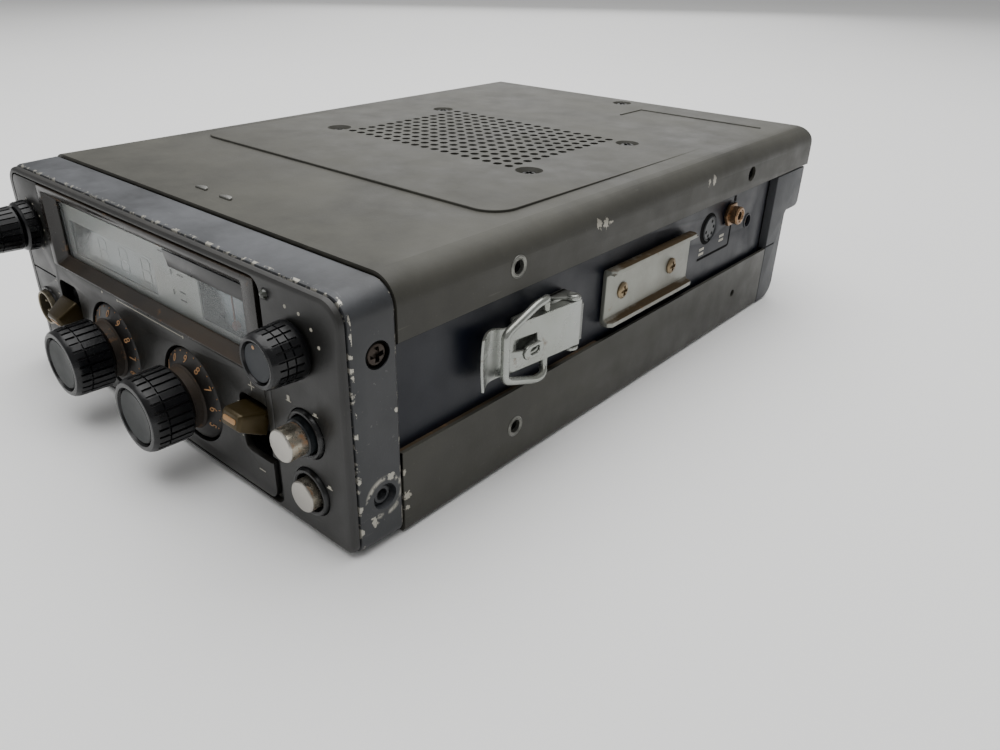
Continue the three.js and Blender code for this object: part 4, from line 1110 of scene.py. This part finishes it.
def top_cover():
    """The arched cover with its raised field, ridge, grille, screws, side holes and two lugs."""
    body = cut(cover_shell("top_cover_look", 0), cover_shell("tool", SHEET, 2))
    bevel(body, 0.3, 2, 50)
    front_y, rear_y, low, high = 67.0, 197.0, COVER_TOP - 0.6, COVER_TOP + 0.8
    outline = rounded(-77, 77, front_y, rear_y, (9, 0.5), 14)
    pad = prism("tool", outline, "z", low, high)
    for vertex in pad.data.vertices:
        if vertex.co.z > COVER_TOP:
            fall = max(0.0, (vertex.co.y - 120) / (rear_y - 120)) ** 5
            vertex.co.z = high - 0.85 * fall
    bevel(pad, 0.75, 4, 40, worn=False)
    body = boolean(body, "UNION", pad)
    for x0, x1, y0, y1 in ((17.3, 18.5, 222, 240.2), (17.3, 77, 239, 240.2)):
        ridge = prism("tool", rounded(x0, x1, y0, y1, 0.55, 4), "z", COVER_TOP - 0.5, COVER_TOP + 0.45)
        body = boolean(body, "UNION", bevel(ridge, 0.4, 3, 40, False))
    screws = [(GRILLE["x"] + dx, GRILLE["y"] + dy) for dx in (-50, 50) for dy in (-30.7, 30.7)]
    screws.append((1.4, 249.0))
    dimple = [(0, 73.0), (3.1, 73.0), (3.6, 73.4), (4.9, 75.4), (4.9, 78), (0, 78)]
    body = cut(body, *[lathe("tool", "z", at, dimple, 32) for at in screws])
    holes = []
    for i in range(GRILLE["nx"]):
        for j in range(GRILLE["ny"]):
            x = GRILLE["x"] + (i - (GRILLE["nx"] - 1) / 2) * GRILLE["pitch"]
            y = GRILLE["y"] + (j - (GRILLE["ny"] - 1) / 2) * GRILLE["pitch"]
            holes.append(rod("hole", "z", (x, y), GRILLE["r"], 70, 80, 16))
    body = cut(body, fuse("tool", holes))
    for side in (-1, 1):
        for y, z, r in TOP_HOLES:
            body = cut(body, rod("tool", "x", (y, z), r, *sideways(side, HALF - 3, HALF + 3), 28))
    done(body, "housing", COVER, "top_cover", 28)
    for i, at in enumerate(screws):
        profile = [(0, 73.2), (3.4, 73.2), (4.6, 74.6), (4.6, 72.6), (0, 72.6)]
        cup = lathe("cover_cup_%d" % i, "z", at, profile, 28)
        done(cup, "housing", COVER[0])
        screw = phillips("cover_screw_%d" % i, "z", at, 73.2, 1, 2.9, 1.3)
        done(screw, "housing", BLACK_SCREW)
    for i, (x, y) in enumerate(((-8.0, 24.4), (6.7, 23.5))):
        angles = [math.pi * k / 14 for k in range(15)]
        half_moon = [(x + 2.9 * math.cos(a), y + 2.2 * math.sin(a)) for a in angles]
        lug = prism("cover_lug_%d" % i, half_moon, "z", 74.6, 75.45)
        done(bevel(lug, 0.3, 3), "housing", STEEL)


def bottom_cover():
    """The tray under the set, its edge grime, and a painted shadow strip under the top cover's edge."""
    low, high = box_mm("bottom_cover")
    outer = rounded(-HALF, HALF, low.z, high.z, (2.2, 0.01), 8)
    body = prism("bottom_cover_look", outer, "y", low.y, high.y)
    inner = rounded(SHEET - HALF, HALF - SHEET, SHEET, high.z + 3, (1.2, 0.01), 8)
    body = cut(body, prism("tool", inner, "y", low.y - 2, high.y + 2))
    bevel(body, 0.3, 2, 50)
    for side in (-1, 1):
        for y, z, r in BASE_HOLES:
            body = cut(body, rod("tool", "x", (y, z), r, *sideways(side, HALF - 3, HALF + 3), 28))
    screws = [(x, y) for x in (-78, 78) for y in (24, 124, 224)] + [(0, 24), (0, 224)]
    done(body, "housing", COVER, "bottom_cover", 28)
    for side, label in ((1, "right"), (-1, "left")):
        span = sideways(side, BAND_X - 0.1, HALF - 1.25)
        edge = oblong(*span, high.z - 1.2, high.z - 0.3)
        grime = prism("band_grime_" + label, edge, "y", 15.2, 106)
        done(modify(grime, "BEVEL", width=0.2, segments=2), "housing", RUSTY)
        # Painted shadow: a near-black strip, a little proud of the band, where the top cover's edge throws
        # its shade.
        span = sideways(side, BAND_X - 0.1, BAND_X + 0.2)
        shadow = block("painted_joint_shadow_" + label, span, (15.2, 229), (COVER_LOW.z - 1.7, COVER_LOW.z + 0.8))
        done(shadow, "housing", DARK)
    for i, at in enumerate(screws):
        screw = phillips("base_screw_%d" % i, "z", at, 1.1, -1, 2.6, 1.05)
        done(screw, "housing", BLACK_SCREW)


def side_eyelets():
    """Rolled eyelets in the front holes, and the dark nuts behind all four of each side."""
    def sided(profile, side):
        """A profile whose places are heights over the cover's side."""
        return [(r, side * (HALF + height)) for r, height in profile]

    for side, label in ((1, "right"), (-1, "left")):
        rings = []
        for y, z, _ in (TOP_HOLES[0], BASE_HOLES[0]):
            profile = [
                (2.0, -1.2), (2.1, 0.1), (2.35, 0.3), (2.6, 0.05), (2.85, 0.05), (3.1, 0.25),
                (3.35, 0.1), (3.4, -0.2), (2.3, -1.2),
            ]
            rings.append(lathe("eyelet", "x", (y, z), sided(profile, side), 40))
        done(fuse("eyelets_" + label, rings), "housing", EYELET)
        nuts = []
        for y, z, _ in (TOP_HOLES[0], BASE_HOLES[0], TOP_HOLES[1], BASE_HOLES[1]):
            profile = [(0, -4), (4.2, -4), (4.2, -1.4), (1.5, -1.4), (1.5, -3.6), (0, -3.6)]
            nuts.append(lathe("nut", "x", (y, z), sided(profile, side), 24))
        done(fuse("side_nuts_" + label, nuts), "housing", BLACK_SCREW)


# ------------------------------------------------------------------ side fittings
BAND_X = box_mm("chassis")[1].x


def rails():
    """The channel-shaped rails with their clipped corners, two screws in each."""
    low, high = box_mm("rail_right")
    wall = 1.6
    outline = [
        (low.x, low.z + 1.2), (low.x + 0.35, low.z + 0.35), (low.x + 1.2, low.z), (high.x, low.z),
        (high.x, low.z + wall), (low.x + wall + 0.9, low.z + wall), (low.x + wall, low.z + wall + 0.9),
        (low.x + wall, high.z - wall - 0.9), (low.x + wall + 0.9, high.z - wall),
        (high.x, high.z - wall), (high.x, high.z), (low.x + 1.2, high.z), (low.x + 0.35, high.z - 0.35),
        (low.x, high.z - 1.2),
    ]
    body = prism("rail_right_look", outline, "y", low.y, high.y)
    for below, above in ((low.z - 3, low.z + 2), (high.z - 1, high.z + 4)):
        for y, inward in ((low.y, 1), (high.y, -1)):
            root, tip = high.x - 1.4, high.x + 1
            corner = [(root, y), (tip, y + 2.4 * inward), (tip, y - inward), (root, y - inward)]
            body = cut(body, prism("tool", corner, "z", below, above))
    bevel(body, 0.25, 2)
    left = mirror(body, "rail_left_look")
    done(body, "housing", RAIL, "rail_right")
    done(left, "housing", RAIL, "rail_left")
    for side, label in ((1, "right"), (-1, "left")):
        for i, y in enumerate((117.4, 149.4)):
            seat = side * (low.x + wall)
            screw = phillips("rail_screw_%s_%d" % (label, i), "x", (y, 41), seat, side, 2.9, 1.1)
            done(screw, "housing", RAIL_SCREW)


LATCH_Z = middle("latch_lever_right").z
PIN = (box_mm("latch_base_right")[1].x - 3.0, 83.0)
BAIL_AT = (95.2, 71.0)
LATCH_HALF = 7.5
PLATE = 0.8
TAB_Y = box_mm("latch_lever_right")[0].y


def latch_lever():
    """The lever: a folded plate with side flanges, a raised eye and a curled finger tab."""
    def outer(y):
        """Where the plate's outer face stands on X: straight, then curled out to the finger tab."""
        if y > 54:
            return 93.1 + (y - 54) * 3.2 / 31
        t = min(1.0, (54 - y) / (54 - TAB_Y))
        return 93.1 - 2.0 * math.sin(t * math.pi) + 1.3 * t ** 2

    rows = [85.0, 80, 74, 68, 62, 58, 56, 54] + [54 - (54 - TAB_Y) * k / 12 for k in range(1, 13)]
    columns = [-1, -0.96, -0.9, -0.7, -0.4, 0, 0.4, 0.7, 0.9, 0.96, 1]
    verts, faces = [], []
    for y in rows:
        half = LATCH_HALF + (0.5 * min(1.0, (53 - y) / 3) if y < 53 else 0)
        for c in columns:
            curl = 0.5 * c * c * min(1.0, max(0.0, (50 - y) / 5))
            verts.append((outer(y) + curl, y, LATCH_Z + half * c))
    n = len(columns)
    for i in range(len(rows) - 1):
        for j in range(n - 1):
            a = i * n + j
            faces.append([a, a + 1, a + n + 1, a + n])
    plate = make("latch_lever_plate", verts, faces)
    modify(plate, "SOLIDIFY", thickness=PLATE, offset=1)
    # The sheet's normals may face in or out. Grown outwards, it goes back by its own thickness.
    drawn = sum(v[0] for v in verts) / len(verts)
    if sum(v.co.x for v in plate.data.vertices) / len(plate.data.vertices) > drawn:
        plate.data.transform(Matrix.Translation((-PLATE, 0, 0)))
    plate = cut(plate, block("tool", (85, 100), (57.5, 66.0), (LATCH_Z - 2.2, LATCH_Z + 2.4)))
    bevel(plate, 0.18, 2, 40)
    parts = [plate]
    for end in (-1, 1):
        z = LATCH_Z + end * (LATCH_HALF - 0.5)
        side = [(outer(56) - 0.5, 56), (outer(85) - 0.5, 85), (outer(85) - 4.4, 85), (outer(62) - 2.6, 60)]
        parts.append(bevel(prism("flange", side, "z", z - 0.45, z + 0.45), 0.2, 2))
    for i in range(15):
        z = LATCH_Z - 5.6 + i * 0.8
        profile = [(0, -0.32), (1.35, -0.3), (1.5, -0.16), (1.5, 0.16), (1.35, 0.3), (0, 0.32)]
        parts.append(lathe("knuckle", "z", (PIN[0] - 0.2, PIN[1] + 2.2), profile, 20, z))
    tongue = [(91.8, 55.4), (92.9, 55.0), (96.0, 60.0), (95.2, 60.8)]
    root = prism("root", tongue, "z", LATCH_Z - 2.8, LATCH_Z - 0.6)
    parts.append(bevel(root, 0.2, 2))
    eye = prism("eye", rounded(58.4, 67.0, LATCH_Z - 3.9, LATCH_Z + 0.5, 2.15, 8), "x", 95.0, 96.1)
    eye = cut(eye, prism("tool", rounded(61.0, 65.4, LATCH_Z - 2.75, LATCH_Z - 0.65, 1.0, 6), "x", 92, 98))
    parts.append(bevel(eye, 0.35, 3, 40))
    return fuse("latch_lever_right_look", parts)


def latch_base():
    """The riveted plate on the side band, with two ears that hold the lever's pin."""
    x = BAND_X + 0.3
    plate = prism("plate", rounded(60, 87, LATCH_Z - 7.2, LATCH_Z + 7.2, 1.2, 4), "x", x, x + 1.2)
    bevel(plate, 0.25, 2)
    parts = [plate]
    for end in (-1, 1):
        z = LATCH_Z + end * (LATCH_HALF + 0.75)
        ear = [(x + 0.2, 77), (x + 1.4, 77), (PIN[0] - 1.6, PIN[1] - 2.2)]
        ear += arc(PIN[0] - 0.6, PIN[1], 2.2, -70, 90, 12)
        ear += [(x + 2.2, 85.5), (x + 0.2, 85.5)]
        parts.append(bevel(prism("ear", ear, "z", z - 0.45, z + 0.45), 0.2, 2))
        foot = prism("foot", rounded(77, 85.5, z - 0.9, z + 0.45, 0.3, 3), "x", x, x + 1.2)
        parts.append(foot)
        rivet = [(0, 0.3), (1.9, 0.4), (1.8, 0.8), (1.3, 1.0), (0.9, 0.9), (0, 0.85)]
        rivet = [(r, end * height) for r, height in rivet]
        parts.append(lathe("rivet", "z", (PIN[0] - 1.0, PIN[1]), rivet, 24, z))
    return fuse("latch_base_right_look", parts)


def latch_bail():
    """A wire loop whose ends turn into the lever's flanges."""
    x, back = BAIL_AT
    half, front = 12.2, 50.6
    upper = [
        (x - 2.0, back, 6.6), (x - 2.0, back, 9.6), (x - 2.0, back, 10.9), (x - 0.9, back - 1.2, 11.9),
        (x, back - 3.4, half), (x, back - 6.5, half), (x, front + 8, half - 2.1),
        (x, front + 3.6, half - 3.6), (x, front + 1.0, half - 4.6), (x, front, half - 5.8),
        (x, front, half - 7.4), (x, front, 0.6),
    ]
    lower = [(px, y, -z) for px, y, z in reversed(upper)]
    points = [(px, y, LATCH_Z + z) for px, y, z in upper + lower]
    return tube("latch_bail_right_look", points, 1.25, 16, 8)


def latches():
    """The three parts of each draw latch, made on the right and mirrored to the left."""
    for maker, node, body in (
        (latch_base, "latch_base", "housing"),
        (latch_lever, "latch_lever", "latch"),
        (latch_bail, "latch_bail", "bail"),
    ):
        right = maker()
        left = mirror(right, node + "_left_look")
        for piece, label in ((right, "right"), (left, "left")):
            home = body if body == "housing" else body + "_" + label
            done(piece, home, CHROME, node + "_" + label)


def side_sockets():
    """The accessory socket, phono jack and trimmer of the right side, and the marks by them."""
    x = BAND_X
    # Painted shade: near-black blocks on both sides fill the recess between the band and the heat sink.
    for side in (1, -1):
        gap = block("rear_recess_painted_shade", sideways(side, 84, x - 0.6), (229.5, 233.6), (4, 58))
        done(gap, "housing", DARK)
    socket = middle("accessory_socket")
    at = (socket.y, socket.z)
    body = lathe("accessory_socket_look", "x", at, [
        (0, -5), (5.0, -5), (5.0, 0.2), (4.6, 0.5), (4.2, 0.1), (0, 0.1)], 40, x)
    # Painted shade: a flat near-black disc, larger than the socket and set off towards the front, stands
    # for the shaded recess round it.
    crescent = lathe("accessory_recess_painted_shade", "x", (at[0] - 1.3, at[1] + 0.2), [
        (0, 0.04), (6.2, 0.04), (6.2, -0.5), (0, -0.5)], 40, x)
    done(crescent, "housing", DARK)
    for i in range(5):
        body = cut(body, rod("tool", "x", spoke(at, 2.9, 200 + i * 55), 0.7, x - 3, x + 2, 14))
    body = cut(body, block("tool", (x - 1.5, x + 1), (at[0] - 0.8, at[0] + 0.8), (at[1] - 5, at[1] - 3.6)))
    done(body, "housing", SLEEVE, "accessory_socket")
    jack = middle("phono_jack")
    at = (jack.y, jack.z)
    shell = lathe("phono_jack_look", "x", at, [
        (1.7, -3), (3.5, -3), (3.5, 1.6), (3.2, 1.8), (3.5, 2.1), (3.6, 4.4), (3.2, 4.9), (2.6, 5.0),
        (2.4, 4.6), (1.7, 4.5)], 40, x)
    nut = bevel(prism("nut", circle(at[0], at[1], 5.0, 6), "x", x + 0.3, x + 1.6), 0.25, 2)
    core = lathe("core", "x", at, [(0, 1), (1.65, 1), (1.65, 3.4), (0, 3.4)], 20, x)
    done(fuse("phono_jack_look", [shell, nut]), "housing", BRASS, "phono_jack")
    done(core, "housing", DARK)
    trimmer = middle("level_trimmer")
    at = (trimmer.y, trimmer.z)
    screw = lathe("level_trimmer_look", "x", at, [
        (0, -4), (2.2, -4), (2.2, -1.4), (1.9, -1.1), (0, -1.1)], 28, x)
    screw = cut(screw, block("tool", (x - 1.9, x), (at[0] - 1.8, at[0] + 1.8), (at[1] - 0.3, at[1] + 0.3)))
    done(screw, "housing", BRASS, "level_trimmer")
    done(ring("trimmer_rim", "x", at, 2.5, 3.2, x - 0.2, x + 0.25), "housing", BAND[0])
    border = []
    for y0, y1, z0, z1 in ((174, 198.8, 35.3, 36.3), (199.1, 200.1, 36.6, 46)):
        border.append(block("line", (x - 0.1, x + 0.08), (y0, y1), (z0, z1)))
    bend = arc(198.6, 36.9, 1.5, -90, 0, 6) + arc(198.6, 36.9, 0.5, 0, -90, 6)
    border.append(prism("line", bend, "x", x - 0.1, x + 0.08))
    done(fuse("socket_border", border), "housing", DARK)
    marks = []
    for y, z in ((176.5, 39.7), (176.5, 37.8), (192.5, 41.4), (192.5, 39.6)):
        marks.append(block("mark", (x - 0.1, x + 0.06), (y - 1.9, y + 1.9), (z - 0.5, z + 0.5)))
    done(fuse("socket_marks", marks), "housing", INK)
    notch = block("band_notch", (x - 0.1, x + 0.1), (199.2, 201), (53.6, 56))
    done(notch, "housing", DARK)


# ------------------------------------------------------------------ rear and inside
def rear():
    """The stepped heat sink with its fins, the antenna socket, the power inlet and the screws."""
    low, high = box_mm("rear_heatsink")
    step_z, step_y = 40.0, 248.0
    side = [(low.y, low.z)] + arc(step_y - 7, low.z + 7, 7, -90, 0, 10)
    side += [(step_y, step_z - 1.5), (step_y + 1.2, step_z)]
    side += arc(high.y - 3, step_z + 3, 3, -90, -20, 6) + [(high.y, high.z), (low.y, high.z)]
    body = prism("rear_heatsink_look", side, "x", -HALF, HALF)
    body = cut(body, block("tool", (-84, 84), (low.y - 2, low.y + 6), (4, 54)))
    seam = block("tool", (-HALF - 1, HALF + 1), (low.y - 1, step_y - 6), (26.3, 26.8))
    inner = block("tool", (1.0 - HALF, HALF - 1.0), (low.y - 3, step_y), (20, 30))
    body = cut(body, cut(seam, inner))
    for node, r in (("antenna_socket", 8.2), ("power_inlet", 6.2)):
        at = middle(node)
        body = cut(body, rod("tool", "y", (at.x, at.z), r, low.y - 2, high.y + 2, 40))
    bevel(body, 0.5, 3, 40)
    done(body, "housing", CAST, "rear_heatsink")
    fins = []
    for i in range(9):
        x = -44 + i * 13
        root, tip = step_y - 0.6, high.y - 1.6
        outline = [(root, 5), (high.y - 4, 5), (tip, 8), (tip, step_z + 0.5), (root, step_z + 0.5)]
        fins.append(bevel(prism("fin", outline, "x", x - 1.2, x + 1.2), 0.35, 2))
    done(fuse("heatsink_fins", fins), "housing", CAST)
    antenna = middle("antenna_socket")
    at = (antenna.x, antenna.z)
    threads = [(6.4, 257.4), (6.4, 260.6), (7.2, 260.6)]
    for i in range(9):
        y = 260.0 - i * 1.05
        threads += [(7.3, y), (7.75, y - 0.4), (7.3, y - 0.8)]
    threads += [(7.4, 250.2), (7.4, 242), (6.4, 242)]
    shell = lathe("shell", "y", at, threads, 56)
    square = rounded(at[0] - 10.2, at[0] + 10.2, at[1] - 10.2, at[1] + 10.2, 1.5, 4)
    flange = bevel(prism("flange", square, "y", 248.3, 250), 0.25)
    flange = cut(flange, rod("tool", "y", at, 7.3, 246, 252, 40))
    done(fuse("antenna_socket_look", [shell, flange]), "housing", NICKEL, "antenna_socket")
    profile = [(0, 252), (2, 252), (2, 257.2), (6.35, 257.2), (6.35, 244), (0, 244)]
    core = lathe("antenna_core", "y", at, profile, 40)
    done(core, "housing", MASK)
    contact = lathe("antenna_contact", "y", at, [(1.2, 252.2), (1.9, 252.2), (1.9, 257), (1.2, 257)], 24)
    done(contact, "housing", BRASS)
    for i, (dx, dz) in enumerate(((-1, -1), (1, -1), (-1, 1), (1, 1))):
        corner = (at[0] + dx * 7.84, at[1] + dz * 7.84)
        screw = phillips("antenna_screw_%d" % i, "y", corner, 250, 1, 1.4, 0.8)
        done(screw, "housing", STEEL)
    inlet = middle("power_inlet")
    at = (inlet.x, inlet.z)
    profile = [
        (0, 249), (4.3, 249), (4.4, 252), (4.8, 252.4), (5.4, 252.2), (7.9, 250.4), (8.3, 249.8),
        (8.3, 248.4), (5.9, 248.4), (5.9, 242), (0, 242),
    ]
    grommet = lathe("power_inlet_look", "y", at, profile, 48)
    for dx in (-1.8, 1.8):
        grommet = cut(grommet, rod("tool", "y", (at[0] + dx, at[1]), 1.0, 246, 251, 16))
    done(grommet, "housing", COLLAR, "power_inlet")
    for i, (x, z) in enumerate(((-84, 48.5), (84, 48.5), (-84, 8), (84, 8))):
        seat = high.y if z > step_z else step_y
        screw = phillips("rear_screw_%d" % i, "y", (x, z), seat, 1, 2.8, 1.3)
        done(screw, "housing", BLACK_SCREW)


def inside():
    """The chassis, speaker and boards, and finishes for the CAD nodes that stay as they are."""
    for node, finish, slot in (
        ("chassis", BAND, "chassis_paint"),
        ("speaker_basket", (DARK, DARK), "speaker_frame"),
        ("upper_board", (BOARD, BOARD), "circuit_board"),
        ("lower_board", (BOARD, BOARD), "circuit_board"),
    ):
        width = 0.25 if node == "chassis" else 0.15
        done(from_cad(node, width), "housing", finish, node)
    finishes = {
        "front_subpanel": DARK, "volume_squelch_control": STEEL, "selector_100khz": STEEL,
        "selector_10khz": STEEL, "tone_selector": STEEL, "power_level_switch": STEEL,
        "power_switch": STEEL, "megahertz_switch": DARK, "offset_switch": DARK, "speaker_cone": PAPER,
        "synthesizer_can": STEEL, "power_amplifier": STEEL,
    }
    for node, finish in finishes.items():
        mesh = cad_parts[node].data
        mesh.materials.clear()
        mesh.materials.append(finish)


def lamp():
    """The busy lamp's dome in its rim."""
    at = (LAMP_AT.x, LAMP_AT.z)
    profile = [
        (0, -3.75), (0.3, -3.73), (0.6, -3.64), (0.86, -3.48), (1.08, -3.24), (1.25, -2.94), (1.35, -2.6),
        (1.4, -2.2), (1.4, -0.4), (0, -0.4),
    ]
    dome = lathe("busy_lamp_look", "y", at, profile, 48)
    done(dome, "housing", LAMP, "busy_lamp")
    done(ring("busy_lamp_rim", "y", at, 1.45, 1.68, -2.5, -0.5), "housing", COLLAR)


front_bezel()
front_moulding()
control_plate()
window()
panel_marks()
lamp()
tuning_dial("100khz", "dial_hundred", DIAL_100, -61, "5678901234")
tuning_dial("10khz", "dial_ten", DIAL_10, -31, "5678901234")
tone_knob()
volume_pair()
microphone_socket()
lever("megahertz_lever_look", "megahertz", "megahertz_lever", MHZ_SLOT[0], LEVER_PIVOT_Y, 31.5, -24.8)
lever("offset_lever_look", "offset", "offset_lever", OFFSET_SLOT[0], LEVER_PIVOT_Y, 25.8, 18)
push_button("power_level_button", "power_level", LEVEL, "power_level_button")
push_button("power_button", "power", POWER, "power_button")
collar("power_level_collar_look", LEVEL, "power_level_collar")
collar("power_collar_look", POWER, "power_collar")
top_cover()
bottom_cover()
side_eyelets()
rails()
latches()
side_sockets()
rear()
inside()


# ------------------------------------------------------------------ floor, light and camera
def studio():
    """A pale floor under a soft overhead light, with two weak lights from behind and in front."""
    bpy.ops.mesh.primitive_plane_add(size=24, location=(0, 0, -0.0002))
    floor = bpy.context.object
    floor.name = "floor"
    g = Graph("floor_paper")
    g.link(g.mix(g.noise(3, 2), rgb("f4f4f3"), rgb("f0f0ef")), g.bsdf.inputs["Base Color"])
    g.bsdf.inputs["Roughness"].default_value = 0.9
    floor.data.materials.append(g.material)
    world = bpy.data.worlds.new("studio")
    bpy.context.scene.world = world
    world.use_nodes = True
    world.node_tree.nodes["Background"].inputs["Color"].default_value = (1, 1, 1, 1)
    world.node_tree.nodes["Background"].inputs["Strength"].default_value = 0.36
    for name, at, size, power in (
        ("overhead", (-0.1, 0.1, 1.3), 1.6, 27),
        ("backdrop", (-0.9, 1.2, 0.75), 1.3, 7),
        ("front", (-0.5, -1.2, 0.6), 0.8, 2),
    ):
        light = bpy.data.lights.new(name, "AREA")
        light.energy = power
        light.size = size
        holder = bpy.data.objects.new(name, light)
        holder.location = at
        holder.rotation_euler = (-Vector(at)).to_track_quat("-Z", "Y").to_euler()
        bpy.context.scene.collection.objects.link(holder)


def camera():
    """The camera at the photograph's view."""
    azimuth, elevation, roll = math.radians(41.34), math.radians(27.96), math.radians(0.81)
    lens = bpy.data.cameras.new("camera")
    lens.lens = 29.07
    lens.sensor_width = 36
    lens.shift_x = 0.0199
    lens.shift_y = -0.0065
    holder = bpy.data.objects.new("camera", lens)
    holder.location = TO_FRAME @ Vector((221.39, -103.31, 144.33))
    aim = Matrix.Rotation(azimuth, 4, "Z") @ Matrix.Rotation(math.pi / 2 - elevation, 4, "X")
    holder.rotation_euler = (aim @ Matrix.Rotation(roll, 4, "Z")).to_euler()
    bpy.context.scene.collection.objects.link(holder)
    bpy.context.scene.camera = holder


studio()
camera()
for material in STAND_INS:
    bpy.data.materials.remove(material)

bpy.context.view_layer.update()
